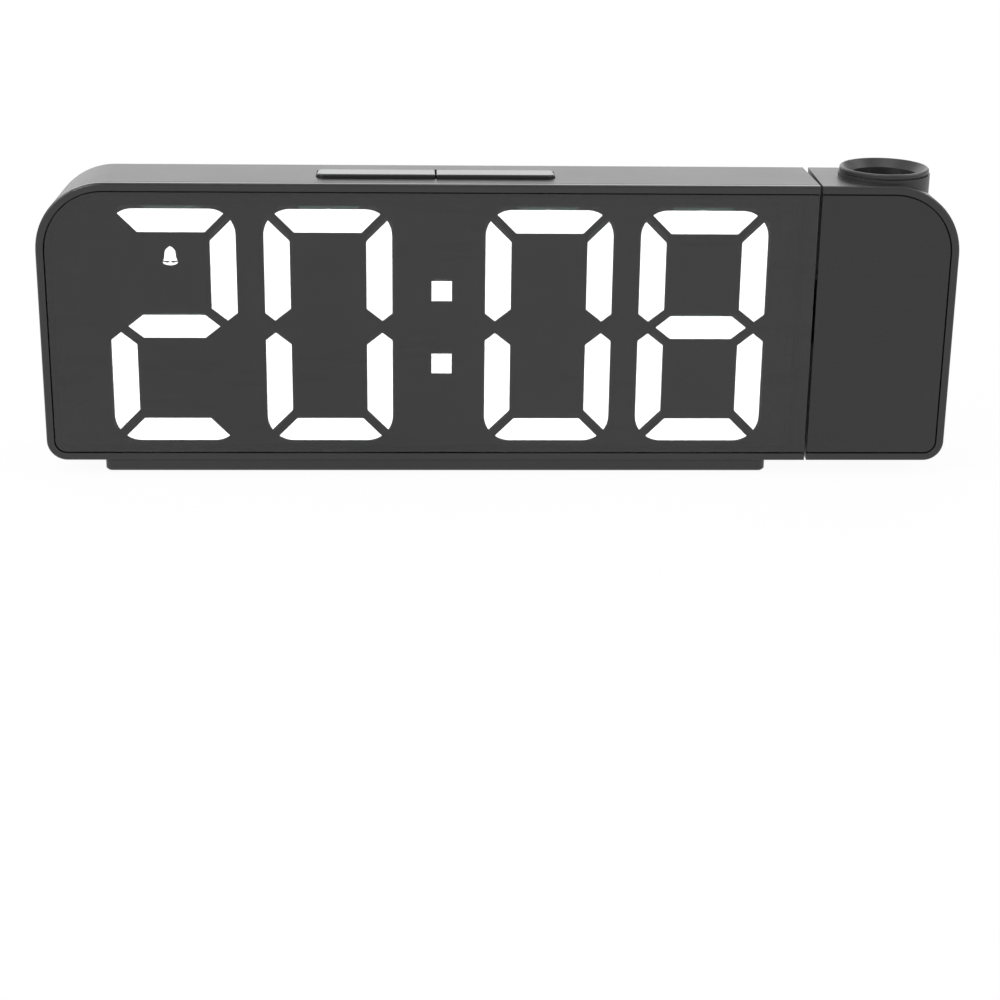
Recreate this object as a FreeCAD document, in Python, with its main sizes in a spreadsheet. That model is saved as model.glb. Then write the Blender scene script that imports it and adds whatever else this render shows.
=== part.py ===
import FreeCAD, Part
import math
import os
import re

import Sketcher
from FreeCAD import Placement, Rotation, Vector

# A projection alarm clock: a flat display housing on a foot, with a projector pod that turns on its right end.
# Lengths are in mm. The drawing frame has x to the right, y from the front face to the back and z up from the
# underside of the housing. Every sub-part is then moved so that the middle of the table contact is the origin.

os.makedirs("parts", exist_ok=True)
doc = FreeCAD.newDocument("projection_alarm_clock")
sheet = doc.addObject("Spreadsheet::Sheet", "Sizes")

SIZES = [
    ("overall_width", "190", "over the housing and the pod"),
    ("case_height", "59.2", "housing without the foot"),
    ("case_depth", "22.3", "front face to back face"),
    ("pod_width", "29.5", "from the middle of the slit to the right end"),
    ("slit_gap", "0.5", "between housing and pod at the front"),
    ("corner_top", "14.3", "radius of the two outer top corners"),
    ("corner_low", "4.2", "radius of the two outer bottom corners"),
    ("draft_deg", "1", "mould draft of the side walls"),
    ("rear_round", "1.3", "rounding around the back face"),
    ("wall", "2.2", "side walls at the front"),
    ("back_wall", "1.8", "back wall"),
    ("rim_width", "1.6", "visible band around the front panel"),
    ("rim_depth", "1.4", "depth of the band"),
    ("rim_round", "0.5", "rounding of its outer edge"),
    ("parting_gap", "0.2", "dark line behind the band"),
    ("groove_gap", "0.2", "line between band and panel"),
    ("panel_thick", "1.45", "display lens and pod plate"),
    ("panel_sink", "0.1", "panel below the front face"),
    ("ledge_width", "1.4", "ledge that carries the display lens"),
    ("tongue_length", "2.6", "tongue of the frame inside the case"),
    ("tongue_gap", "0.05", "tongue to case wall"),
    ("foot_thick", "2.44", "foot below the housing"),
    ("ledge_rise", "2.06", "rear ledge of the foot above the housing underside"),
    ("foot_front", "0.4", "front edge of the foot"),
    ("foot_back", "29.2", "rear edge of the foot"),
    ("foot_corner", "6.5", "rear corners of the foot"),
    ("foot_nose", "1.5", "front corners of the foot"),
    ("foot_inset_left", "12", "left end of the foot from the left end of the housing"),
    ("foot_inset_right", "8.5", "right end of the foot from the slit"),
    ("pad_proud", "0.4", "rubber pads below the foot"),
    ("pad_radius", "4.5", "rubber pads"),
    ("pad_sunk", "0.6", "rubber pads let into the foot"),
    ("digit_height", "50.4", "numerals"),
    ("digit_width", "26.7", "numerals"),
    ("digit_pitch", "32.3", "between the two numerals of a pair"),
    ("digit_low", "3.9", "lower edge of the numerals"),
    ("stroke", "5", "bars lying flat"),
    ("side_stroke", "5.4", "upright bars"),
    ("bar_gap", "1.13", "mitre gap between bars along an edge"),
    ("colon_size", "4.4", "colon squares"),
    ("reflector_depth", "6.55", "light box"),
    ("board_thick", "1.6", "circuit boards"),
    ("key_span", "49", "both top keys together"),
    ("key_left", "-37.8", "left end of the top keys"),
    ("key_front", "6.1", "front edge of the top keys"),
    ("key_back", "16", "rear edge of the top keys"),
    ("key_proud", "0.8", "front edge above the housing top"),
    ("key_gap", "0.2", "around the keys"),
    ("key_corner", "1.8", "outer corners of the keys"),
    ("key_travel", "0.5", "stroke of the top keys"),
    ("button_pitch", "9.8", "rear buttons"),
    ("button_first", "-33.2", "rear button nearest the inlet side"),
    ("button_high", "45.3", "centre height of the rear buttons"),
    ("button_radius", "3.4", "rear button caps"),
    ("button_gap", "0.3", "around the rear buttons"),
    ("button_proud", "1.3", "rear buttons behind the back face"),
    ("recess_radius", "4.85", "shallow recess around the rear buttons"),
    ("recess_deep", "0.45", "shallow recess around the rear buttons"),
    ("vent_width", "14.7", "air slots"),
    ("vent_high", "1.4", "air slots"),
    ("vent_round", "=vent_high * 0.45", "rounded slot ends"),
    ("vent_pitch", "3.5", "air slots"),
    ("door_width", "25.5", "battery door opening"),
    ("door_high", "23.5", "battery door opening"),
    ("door_x", "-14.75", "middle of the battery door"),
    ("door_z", "20.55", "middle of the battery door"),
    ("door_thick", "1.45", "battery door plate"),
    ("pin_radius", "0.4", "stub pins of the battery door"),
    ("pin_reach", "0.8", "stub pins beyond the door opening"),
    ("cell_radius", "10", "coin cell"),
    ("cell_thick", "3.2", "coin cell"),
    ("inlet_x", "-52.7", "power inlet"),
    ("inlet_z", "13.1", "power inlet"),
    ("inlet_radius", "2.4", "hole in the back wall"),
    ("sensor_x", "-69.65", "room sensor hole"),
    ("sensor_z", "23.3", "room sensor hole"),
    ("neck_radius", "6", "hollow neck the pod turns on"),
    ("neck_bore", "4", "cable way in the neck"),
    ("pod_split", "11.15", "parting plane of the pod, also the axis of the neck"),
    ("axis_high", "29.6", "height of the neck axis"),
    ("lens_from_end", "14.7", "projection axis from the right end"),
    ("collar_radius", "9.5", "collar on the pod"),
    ("collar_rise", "2", "collar above the pod top"),
    ("funnel_radius", "8.7", "mouth of the collar"),
    ("funnel_deep", "1.6", "mouth of the collar"),
    ("bore_radius", "7", "bore of the collar"),
    ("collar_foot", "46", "lower end of the collar tube"),
    # Sizes that follow from the ones above.
    ("case_left", "=-overall_width / 2", ""),
    ("pod_right", "=overall_width / 2", ""),
    ("slit_x", "=pod_right - pod_width", ""),
    ("case_right", "=slit_x - slit_gap / 2", ""),
    ("pod_left", "=slit_x + slit_gap / 2", ""),
    ("case_front", "=rim_depth + parting_gap", ""),
    ("cavity_left", "=case_left + wall", ""),
    ("cavity_right", "=case_right - wall", ""),
    ("cavity_low", "=wall", ""),
    ("cavity_high", "=case_height - wall", ""),
    ("cavity_back", "=case_depth - back_wall", ""),
    ("cavity_top_round", "=corner_top - wall", ""),
    ("cavity_low_round", "=corner_low - wall", ""),
    ("tongue_left", "=cavity_left + tongue_gap", ""),
    ("tongue_right", "=cavity_right - tongue_gap", ""),
    ("tongue_low", "=cavity_low + tongue_gap", ""),
    ("tongue_high", "=cavity_high - tongue_gap", ""),
    ("tongue_top_round", "=cavity_top_round - tongue_gap", ""),
    ("tongue_low_round", "=cavity_low_round - tongue_gap", ""),
    ("panel_back", "=panel_sink + panel_thick", ""),
    ("seat_left", "=case_left + rim_width", ""),
    ("seat_right", "=case_right + 2", ""),
    ("seat_low", "=rim_width", ""),
    ("seat_high", "=case_height - rim_width", ""),
    ("seat_top_round", "=corner_top - rim_width", ""),
    ("seat_low_round", "=corner_low - rim_width", ""),
    ("panel_left", "=seat_left + groove_gap", ""),
    ("panel_low", "=seat_low + groove_gap", ""),
    ("panel_high", "=seat_high - groove_gap", ""),
    ("panel_top_round", "=seat_top_round - groove_gap", ""),
    ("panel_low_round", "=seat_low_round - groove_gap", ""),
    ("window_left", "=seat_left + ledge_width", ""),
    ("window_right", "=tongue_right - ledge_width", ""),
    ("window_low", "=seat_low + ledge_width", ""),
    ("window_high", "=seat_high - ledge_width", ""),
    ("window_top_round", "=seat_top_round - ledge_width", ""),
    ("window_low_round", "=seat_low_round - ledge_width", ""),
    ("reflector_front", "=panel_back + 0.1", ""),
    ("board_front", "=reflector_front + reflector_depth", ""),
    ("board_back", "=board_front + board_thick", ""),
    ("board_left", "=cavity_left + 0.8", ""),
    ("board_right", "=cavity_right - 0.15", ""),
    ("board_low", "=cavity_low + 1", ""),
    ("board_high", "=cavity_high - 3", ""),
    ("board_round", "=cavity_top_round - 0.1", ""),
    ("board_small_round", "=1", ""),
    ("colon_x", "=(case_left + case_right) / 2 + 2.8", ""),
    ("reflector_low", "=window_low + 0.1", ""),
    ("reflector_high", "=cavity_high - 2.1", ""),
    ("foot_left", "=case_left + foot_inset_left", ""),
    ("foot_right", "=slit_x - foot_inset_right", ""),
    ("key_right", "=key_left + key_span", ""),
    ("key_middle", "=key_left + key_span / 2", ""),
    ("opening_left", "=key_left - key_gap", ""),
    ("opening_right", "=key_right + key_gap", ""),
    ("opening_front", "=key_front - key_gap", ""),
    ("opening_back", "=key_back + key_gap", ""),
    ("opening_round", "=key_corner + key_gap", ""),
    ("flange_high", "=cavity_high - 0.1", ""),
    ("flange_low", "=flange_high - 1.2", ""),
    ("key_front_top", "=case_height + key_proud", ""),
    ("key_back_top", "=case_height - 0.2", ""),
    ("recess_left", "=button_first - recess_radius", ""),
    ("recess_right", "=button_first + 4 * button_pitch + recess_radius", ""),
    ("recess_low", "=button_high - recess_radius", ""),
    ("recess_high", "=button_high + recess_radius", ""),
    ("recess_floor", "=case_depth - recess_deep", ""),
    ("recess_round", "=recess_radius - 0.01", ""),
    ("door_left", "=door_x - door_width / 2", ""),
    ("door_right", "=door_x + door_width / 2", ""),
    ("door_low", "=door_z - door_high / 2", ""),
    ("door_top", "=door_z + door_high / 2", ""),
    ("ramp_top", "=door_low + 18", ""),
    ("hinge_x", "=door_left + 0.1 + door_thick / 2", "axis of the battery door"),
    ("hinge_y", "=case_depth - door_thick / 2", "axis of the battery door"),
    ("door_floor", "=case_depth - door_thick - 0.05", ""),
    ("cell_back", "=door_floor - 0.3", ""),
    ("cell_front", "=cell_back - cell_thick", ""),
    ("well_floor", "=cell_front - 0.5", ""),
    ("lens_x", "=pod_right - lens_from_end", ""),
    ("mid_inset", "=pod_split * draft_deg * 0.01745", ""),
    ("rear_pod_left", "=pod_left + mid_inset", ""),
    ("rear_pod_right", "=pod_right - mid_inset", ""),
    ("rear_pod_low", "=mid_inset", ""),
    ("rear_pod_high", "=case_height - mid_inset", ""),
    ("rear_pod_top_round", "=corner_top - mid_inset", ""),
    ("rear_pod_low_round", "=corner_low - mid_inset", ""),
    ("pod_cavity_left", "=pod_left + wall", ""),
    ("pod_cavity_right", "=pod_right - wall", ""),
    ("pod_front_inner", "=panel_back + 1.5", ""),
    ("pod_seat_left", "=pod_left - 2", ""),
    ("pod_seat_right", "=pod_right - rim_width", ""),
    ("plate_right", "=pod_seat_right - groove_gap", ""),
    ("collar_top", "=case_height + collar_rise", ""),
    ("collar_chamfer_radius", "=collar_radius - 0.5", ""),
    ("collar_tier_radius", "=collar_radius - 0.25", ""),
    ("collar_chamfer_low", "=collar_top - 0.25", ""),
    ("collar_groove_high", "=collar_top - 0.9", ""),
    ("collar_groove_low", "=collar_top - 1.15", ""),
    ("funnel_low", "=collar_top - funnel_deep", ""),
    ("lens_edge", "=funnel_low - 2.3", ""),
    ("lens_under", "=lens_edge - 1.3", ""),
    ("lens_apex", "=funnel_low - 1", ""),
    ("barrel_low", "=collar_foot - 10", ""),
    ("case_lift", "=foot_thick + pad_proud", ""),
]

for row, (alias, value, note) in enumerate(SIZES, 1):
    sheet.set("A%d" % row, alias + ((": " + note) if note else ""))
    sheet.set("B%d" % row, value)
    sheet.setAlias("B%d" % row, alias)
doc.recompute()

ALIASES = re.compile(r"\b(%s)\b" % "|".join(alias for alias, value, note in SIZES))
TURN = {
    "X": Rotation(Vector(0, 1, 0), 90),
    "Y": Rotation(Vector(1, 0, 0), -90),
    "Z": Rotation(),
}
NODES = []


def val(name):
    """The present value of one size."""
    return float(sheet.get(name))


def bind(thing, prop, formula):
    """Drive a property of an object from the sheet."""
    thing.setExpression(prop, ALIASES.sub(r"Sizes.\1", str(formula)))


def settle(thing, label):
    """Name a finished sub-part and move it from the drawing frame onto the table."""
    thing.Label = label
    bind(thing, "Placement.Base.y", "-foot_back / 2")
    bind(thing, "Placement.Base.z", "case_lift")
    NODES.append(thing)
    return thing


def new_body(label):
    body = doc.addObject("PartDesign::Body", label)
    return settle(body, label)


def plane_of(body, name):
    return [item for item in body.Origin.OriginFeatures if item.Role == name + "_Plane"][0]


def new_sketch(body, label, plane, level, shift_x="0", shift_y="0"):
    """An empty sketch on one of the body's own planes, moved along and across it."""
    sketch = body.newObject("Sketcher::SketchObject", label)
    sketch.AttachmentSupport = [(plane_of(body, plane), "")]
    sketch.MapMode = "FlatFace"
    bind(sketch, "AttachmentOffset.Base.x", shift_x)
    bind(sketch, "AttachmentOffset.Base.y", shift_y)
    bind(sketch, "AttachmentOffset.Base.z", "-(%s)" % level if plane == "XZ" else level)
    return sketch


def hold(sketch, kind, line, end, name):
    """Fix one coordinate of a line end to a size."""
    if name == "0":
        axis = -1 if kind == "DistanceY" else -2
        sketch.addConstraint(Sketcher.Constraint("PointOnObject", line, end, axis))
        return
    value = val(name)
    if value < 0:
        index = sketch.addConstraint(Sketcher.Constraint(kind, line, end, -1, 1, -value))
        bind(sketch, "Constraints[%d]" % index, "-" + name)
    else:
        index = sketch.addConstraint(Sketcher.Constraint(kind, -1, 1, line, end, value))
        bind(sketch, "Constraints[%d]" % index, name)


def outline(body, label, plane, level, left, right, low, high, radii, shift_x="0", shift_y="0"):
    """A rectangle; radii are given for low right, high right, high left and low left, or None."""
    sketch = new_sketch(body, label, plane, level, shift_x, shift_y)
    x0, x1, y0, y1 = [0.0 if name == "0" else val(name) for name in (left, right, low, high)]
    r = [0.0 if name is None else val(name) for name in radii]
    ends = [
        (x0 + r[3], y0, x1 - r[0], y0),
        (x1, y0 + r[0], x1, y1 - r[1]),
        (x1 - r[1], y1, x0 + r[2], y1),
        (x0, y1 - r[2], x0, y0 + r[3]),
    ]
    for ax, ay, bx, by in ends:
        sketch.addGeometry(Part.LineSegment(Vector(ax, ay, 0), Vector(bx, by, 0)), False)
    centres = [(x1 - r[0], y0 + r[0]), (x1 - r[1], y1 - r[1]), (x0 + r[2], y1 - r[2]), (x0 + r[3], y0 + r[3])]
    for corner in range(4):
        following = (corner + 1) % 4
        if radii[corner] is None:
            sketch.addConstraint(Sketcher.Constraint("Coincident", corner, 2, following, 1))
            continue
        circle = Part.Circle(Vector(centres[corner][0], centres[corner][1], 0), Vector(0, 0, 1), r[corner])
        start = math.radians(90 * corner - 90)
        arc = sketch.addGeometry(Part.ArcOfCircle(circle, start, start + math.pi / 2), False)
        sketch.addConstraint(Sketcher.Constraint("Tangent", corner, 2, arc, 1))
        sketch.addConstraint(Sketcher.Constraint("Tangent", arc, 2, following, 1))
        index = sketch.addConstraint(Sketcher.Constraint("Radius", arc, r[corner]))
        bind(sketch, "Constraints[%d]" % index, radii[corner])
    for line, kind in ((0, "Horizontal"), (1, "Vertical"), (2, "Horizontal"), (3, "Vertical")):
        sketch.addConstraint(Sketcher.Constraint(kind, line))
    hold(sketch, "DistanceX", 3, 1, left)
    hold(sketch, "DistanceX", 1, 1, right)
    hold(sketch, "DistanceY", 0, 1, low)
    hold(sketch, "DistanceY", 2, 1, high)
    return sketch


def polygon(body, label, plane, level, points, shift_x="0"):
    """A closed line through corners that are each held to two sizes."""
    sketch = new_sketch(body, label, plane, level, shift_x)
    spots = [Vector(*[0.0 if name == "0" else val(name) for name in point], 0) for point in points]
    count = len(points)
    for index in range(count):
        sketch.addGeometry(Part.LineSegment(spots[index], spots[(index + 1) % count]), False)
    for index in range(count):
        sketch.addConstraint(Sketcher.Constraint("Coincident", index, 2, (index + 1) % count, 1))
        hold(sketch, "DistanceX", index, 1, points[index][0])
        hold(sketch, "DistanceY", index, 1, points[index][1])
    return sketch


def pad(body, label, sketch, length, taper=None, away=True):
    feature = body.newObject("PartDesign::Pad", label)
    feature.Profile = sketch
    feature.Reversed = away
    bind(feature, "Length", length)
    if taper:
        bind(feature, "TaperAngle", taper)
    sketch.Visibility = False
    return feature


def pocket(body, label, sketch, length):
    feature = body.newObject("PartDesign::Pocket", label)
    feature.Profile = sketch
    bind(feature, "Length", length)
    sketch.Visibility = False
    return feature


def new_primitive(owner, kind, label, cut):
    if owner is None:
        return doc.addObject("Part::" + kind, label)
    return owner.newObject("PartDesign::%s%s" % ("Subtractive" if cut else "Additive", kind), label)


def box(owner, label, xs, ys, zs, cut=False):
    """A block between three pairs of sizes, in a body or on its own."""
    feature = new_primitive(owner, "Box", label, cut)
    for prop, axis, (low, high) in (("Length", "x", xs), ("Width", "y", ys), ("Height", "z", zs)):
        bind(feature, prop, "(%s) - (%s)" % (high, low))
        bind(feature, "Placement.Base." + axis, low)
    return feature


def rod(owner, label, axis, start, radius, length, cut=False):
    """A cylinder that starts at a point and runs along an axis."""
    feature = new_primitive(owner, "Cylinder", label, cut)
    feature.Placement = Placement(Vector(), TURN[axis])
    for name, formula in zip("xyz", start):
        bind(feature, "Placement.Base." + name, formula)
    bind(feature, "Radius", radius)
    bind(feature, "Height", length)
    return feature


def round_edges(body, label, radius, test, kind="Fillet", size="Radius"):
    """Round or bevel the edges of the body that pass a test."""
    doc.recompute()
    tip = body.Tip
    names = ["Edge%d" % (index + 1) for index, edge in enumerate(tip.Shape.Edges) if test(edge.BoundBox)]
    feature = body.newObject("PartDesign::" + kind, label)
    feature.Base = (tip, names)
    bind(feature, size, radius)
    return feature


def together(label, pieces):
    """Several like pieces that make one sub-part."""
    group = doc.addObject("Part::MultiFuse", label)
    group.Shapes = pieces
    return settle(group, label)


def flat_at(bound, axis, value):
    low = getattr(bound, axis + "Min")
    high = getattr(bound, axis + "Max")
    return abs(low - value) < 0.02 and abs(high - value) < 0.02


# Front frame: a band around the display, open towards the slit, with a closed tongue behind it.
frame = new_body("front_frame")
band = outline(frame, "frame_band_outline", "XZ", "0", "case_left", "case_right", "0", "case_height",
               (None, None, "corner_top", "corner_low"))
pad(frame, "frame_band", band, "rim_depth")
round_edges(frame, "frame_band_edge", "rim_round",
            lambda b: flat_at(b, "Y", 0) and not flat_at(b, "X", val("case_right")))
tongue = outline(frame, "frame_tongue_outline", "XZ", "rim_depth", "tongue_left", "tongue_right", "tongue_low",
                 "tongue_high", (None, None, "tongue_top_round", "tongue_low_round"))
pad(frame, "frame_tongue", tongue, "tongue_length")
seat = outline(frame, "frame_seat_outline", "XZ", "0", "seat_left", "seat_right", "seat_low", "seat_high",
               (None, None, "seat_top_round", "seat_low_round"))
pocket(frame, "frame_seat", seat, "panel_back")
window = outline(frame, "frame_window_outline", "XZ", "0", "window_left", "window_right", "window_low",
                 "window_high", (None, None, "window_top_round", "window_low_round"))
pocket(frame, "frame_window", window, "rim_depth + tongue_length + 1")

# Display lens: a smoked sheet set into the frame that runs out to the slit.
lens = new_body("display_lens")
sheet_outline = outline(lens, "lens_outline", "XZ", "panel_sink", "panel_left", "case_right", "panel_low",
                        "panel_high", (None, None, "panel_top_round", "panel_low_round"))
pad(lens, "lens_sheet", sheet_outline, "panel_thick")
round_edges(lens, "lens_edge_round", "0.2", lambda b: flat_at(b, "Y", val("panel_sink")))

# Rear case: one deep drafted shell with slots, seats and bosses.
case = new_body("rear_case")
shell = outline(case, "case_outline", "XZ", "case_front", "case_left", "case_right", "0", "case_height",
                (None, None, "corner_top", "corner_low"))
pad(case, "case_block", shell, "case_depth - case_front", "-draft_deg")
round_edges(case, "case_rear_edge", "rear_round", lambda b: flat_at(b, "Y", val("case_depth")))
hollow = outline(case, "case_cavity_outline", "XZ", "case_front", "cavity_left", "cavity_right", "cavity_low",
                 "cavity_high", (None, None, "cavity_top_round", "cavity_low_round"))
pocket(case, "case_cavity", hollow, "cavity_back - case_front")
key_hole = outline(case, "key_opening_outline", "XY", "case_height + 1", "opening_left", "opening_right",
                   "opening_front", "opening_back", ("opening_round",) * 4)
pocket(case, "key_opening", key_hole, "wall + 2")
stadium = outline(case, "button_recess_outline", "XZ", "recess_floor", "recess_left", "recess_right",
                  "recess_low", "recess_high", ("recess_round",) * 4)
pocket(case, "button_recess", stadium, "recess_deep + 1")
for count in range(5):
    rod(case, "button_hole_%d" % (count + 1), "Y",
        ("button_first + %d * button_pitch" % count, "cavity_back - 1", "button_high"),
        "button_radius + button_gap", "back_wall + 2", cut=True)
for side, start in (("inlet", "case_left + 14.4"), ("swivel", "case_right - 26")):
    for level, height in (("low", "6.3"), ("high", "case_height - 13.5")):
        for count in range(3):
            low = "%s + %d * vent_pitch - vent_high / 2" % (height, count)
            label = "vent_%s_%s_%d" % (side, level, count + 1)
            slot = outline(case, label + "_outline", "XZ", "cavity_back - 1", "0", "vent_width", "0", "vent_high",
                           ("vent_round",) * 4, start, low)
            pocket(case, label, slot, "back_wall + 2")
BOARD_SCREWS = [("cavity_left + 4.3", "8"), ("cavity_left + 4.3", "40"),
                ("cavity_right - 2.65", "8"), ("cavity_right - 2.65", "50")]
for count, (x, z) in enumerate(BOARD_SCREWS, 1):
    rod(case, "board_boss_%d" % count, "Y", (x, "board_back", z), "2.2", "cavity_back - board_back + 0.5")
    rod(case, "board_pilot_%d" % count, "Y", (x, "board_back - 1", z), "1.02", "8", cut=True)
BASE_SCREWS = ["-60", "-14", "36"]
for count, x in enumerate(BASE_SCREWS, 1):
    rod(case, "base_boss_%d" % count, "Z", (x, "15", "wall / 2"), "2.6", "wall / 2 + 4.2")
    rod(case, "base_pilot_%d" % count, "Z", (x, "15", "-1"), "1.12", "wall + 4", cut=True)
rod(case, "cell_well_wall", "Y", ("door_x", "well_floor - 1.4", "door_z"), "cell_radius + 1.7",
    "door_floor - well_floor + 1.4")
box(case, "door_ledge", ("door_left + 1.3", "door_right + 3.4"), ("cavity_back - 0.9", "door_floor"),
    ("door_low - 0.9", "door_top + 0.9"))
box(case, "door_opening", ("door_left", "door_right"), ("door_floor", "case_depth + 1"),
    ("door_low", "door_top"), cut=True)
rod(case, "cell_well", "Y", ("door_x", "well_floor", "door_z"), "cell_radius + 0.3", "8", cut=True)
box(case, "door_tab_seat", ("door_right - 0.5", "door_right + 2.65"), ("case_depth - 1.1", "case_depth + 1"),
    ("door_low + 18", "door_low + 22.5"), cut=True)
finger = polygon(case, "finger_ramp_outline", "YZ", "door_right - 0.2",
                 [("door_floor", "door_low"), ("case_depth", "door_low"), ("case_depth", "ramp_top")])
pocket(case, "finger_ramp", finger, "2.85").Reversed = True
rod(case, "hinge_pin_seat", "Z", ("hinge_x", "hinge_y", "door_low - pin_reach - 0.1"), "pin_radius + 0.05",
    "door_high + 2 * pin_reach + 0.2", cut=True)
rod(case, "inlet_hole", "Y", ("inlet_x", "cavity_back - 1", "inlet_z"), "inlet_radius", "5", cut=True)
rod(case, "inlet_counterbore", "Y", ("inlet_x", "case_depth - 0.8", "inlet_z"), "inlet_radius + 0.8", "2",
    cut=True)
rod(case, "sensor_hole", "Y", ("sensor_x", "cavity_back - 1", "sensor_z"), "1", "5", cut=True)
rod(case, "neck_hole", "X", ("cavity_right - 1", "pod_split", "axis_high"), "neck_radius + 0.03", "wall + 3",
    cut=True)

# Light box behind the lens, its wells and the diffusers in them.


def digit_bars(left, low):
    """The seven bars of a numeral as closed outlines, named a to g."""
    wide = val("digit_width")
    tall = val("digit_height")
    stroke = val("stroke")
    side = val("side_stroke")
    gap = val("bar_gap")
    nose = 1.0
    side_nose = 1.4
    middle = tall / 2
    inner = side + gap
    tip = inner - (stroke - nose)
    flat = [(tip + nose, tall), (wide - tip - nose, tall), (wide - tip, tall - nose),
            (wide - inner, tall - stroke), (inner, tall - stroke), (tip, tall - nose)]
    corner = tall - stroke - gap
    peak = corner + side - side_nose
    foot = middle + 1.25
    upper = [(wide - side, corner), (wide - side_nose, peak), (wide, peak - side_nose),
             (wide, foot + side / 2), (wide - side / 2, foot), (wide - side, foot + side / 2)]
    bar = stroke / 2
    centre = [(4, middle), (4 + bar, middle + bar), (wide - 4 - bar, middle + bar), (wide - 4, middle),
              (wide - 4 - bar, middle - bar), (4 + bar, middle - bar)]
    bars = {
        "a": flat,
        "b": upper,
        "c": [(x, tall - z) for x, z in upper],
        "d": [(x, tall - z) for x, z in flat],
        "e": [(wide - x, tall - z) for x, z in upper],
        "f": [(wide - x, z) for x, z in upper],
        "g": centre,
    }
    return {name: [(left + x, low + z) for x, z in points] for name, points in bars.items()}


def ring_at(points, y, scale):
    """A closed wire of an outline at a depth, drawn in towards its middle."""
    mid_x = sum(x for x, z in points) / len(points)
    mid_z = sum(z for x, z in points) / len(points)
    spots = [Vector(mid_x + (x - mid_x) * scale, y, mid_z + (z - mid_z) * scale) for x, z in points]
    return Part.makePolygon(spots + spots[:1])


def taper_between(points, y0, y1, scale0, scale1):
    return Part.makeLoft([ring_at(points, y0, scale0), ring_at(points, y1, scale1)], True, True)


def square(x, z, size):
    half = size / 2
    return [(x - half, z - half), (x + half, z - half), (x + half, z + half), (x - half, z + half)]


colon_x = val("colon_x")
digit_low = val("digit_low")
first = colon_x + 8.8
lefts = [first - 45.5 - val("digit_pitch"), first - 45.5, first, first + val("digit_pitch")]
LIT = ["abged", "abcdef", "abcdef", "abcdefg"]
lit = []
unlit = []
for left, shown in zip(lefts, LIT):
    for name, points in digit_bars(left, digit_low).items():
        (lit if name in shown else unlit).append(points)
middle_z = digit_low + val("digit_height") / 2
dots = [square(colon_x, middle_z + 7.8, val("colon_size")), square(colon_x, middle_z - 8, val("colon_size"))]
bell_x = lefts[0] + 13.3
bell_z = middle_z + 15.2
bell_shape = [(-1.6, -1.3), (-1.0, -0.6), (-0.9, 0.9), (-0.4, 1.6), (0.4, 1.6), (0.9, 0.9), (1.0, -0.6), (1.6, -1.3)]
bell = [[(bell_x + x, bell_z + z) for x, z in bell_shape],
        [(bell_x + x, bell_z + z) for x, z in [(-0.45, -1.95), (0.45, -1.95), (0.45, -1.5), (-0.45, -1.5)]]]

front = val("reflector_front")
back = val("board_front")
NARROW = 0.6
FILL = 1.2


def scale_at(y):
    """How far a well has narrowed at a depth."""
    return 1 - (1 - NARROW) * (y - front) / (back - front)


def fills(groups):
    """The diffusers that sit in the mouths of the wells."""
    end = front + FILL
    return Part.makeCompound([taper_between(p, front, end, 0.985, 0.985 * scale_at(end)) for p in groups])


def plain(label, shape):
    feature = doc.addObject("Part::Feature", label)
    feature.Shape = shape
    return settle(feature, label)


slab_left = lefts[0] - 2.9
slab_right = lefts[3] + val("digit_width") + 1.9
slab_low = val("reflector_low")
slab_high = val("reflector_high")
slab = Part.makeBox(slab_right - slab_left, back - front, slab_high - slab_low, Vector(slab_left, front, slab_low))
wells = [taper_between(p, front - 0.5, back + 0.5, scale_at(front - 0.5), scale_at(back + 0.5))
         for p in lit + unlit + dots + bell]
plain("display_reflector", slab.cut(wells))
plain("segments_lit", fills(lit))
plain("segments_unlit", fills(unlit))
plain("colon_dots", fills(dots))
plain("alarm_bell_light", fills(bell))
chips = []
for points in lit + unlit + dots + bell[:1]:
    x = sum(p[0] for p in points) / len(points)
    z = sum(p[1] for p in points) / len(points)
    chips.append(Part.makeBox(0.8, 0.6, 0.6, Vector(x - 0.4, back - 0.6, z - 0.3)))
plain("led_chips", Part.makeCompound(chips))

# Main board with what is soldered to it.
board = new_body("main_board")
board_outline = outline(board, "board_outline", "XZ", "board_front", "board_left", "board_right", "board_low",
                        "board_high", ("board_small_round", "board_small_round", "board_round",
                                       "board_small_round"))
pad(board, "board_sheet", board_outline, "board_thick")
box(board, "board_neck_notch", ("board_right - 4.6", "board_right + 1"), ("board_front - 1", "board_back + 1"),
    ("axis_high - 9", "axis_high + 9"), cut=True)
for count, (x, z) in enumerate(BOARD_SCREWS, 1):
    rod(board, "board_hole_%d" % count, "Y", (x, "board_front - 1", z), "1.25", "board_thick + 2", cut=True)

together("board_screws", [
    rod(None, "board_screw_%s_%d" % (name, count), "Y", (x, "board_front " + start, z), radius, length)
    for count, (x, z) in enumerate(BOARD_SCREWS, 1)
    for name, start, radius, length in (("head", "- 1.3", "1.9", "1.3"), ("shank", "- 0.2", "1", "board_thick + 6"))])
together("board_components", [
    box(None, "clock_chip", ("20", "30"), ("board_back", "board_back + 1.4"), ("18", "28")),
    box(None, "driver_chip", ("-70", "-63"), ("board_back", "board_back + 1.4"), ("30", "40")),
    box(None, "crystal", ("33", "35"), ("board_back", "board_back + 2"), ("19", "26")),
    rod(None, "smoothing_capacitor", "Y", ("-42", "board_back", "14"), "3.15", "7"),
    rod(None, "small_capacitor", "Y", ("-42", "board_back", "24"), "2.5", "5"),
    box(None, "cable_socket", ("47", "53"), ("board_back", "board_back + 4"), ("25", "34")),
])
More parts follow.
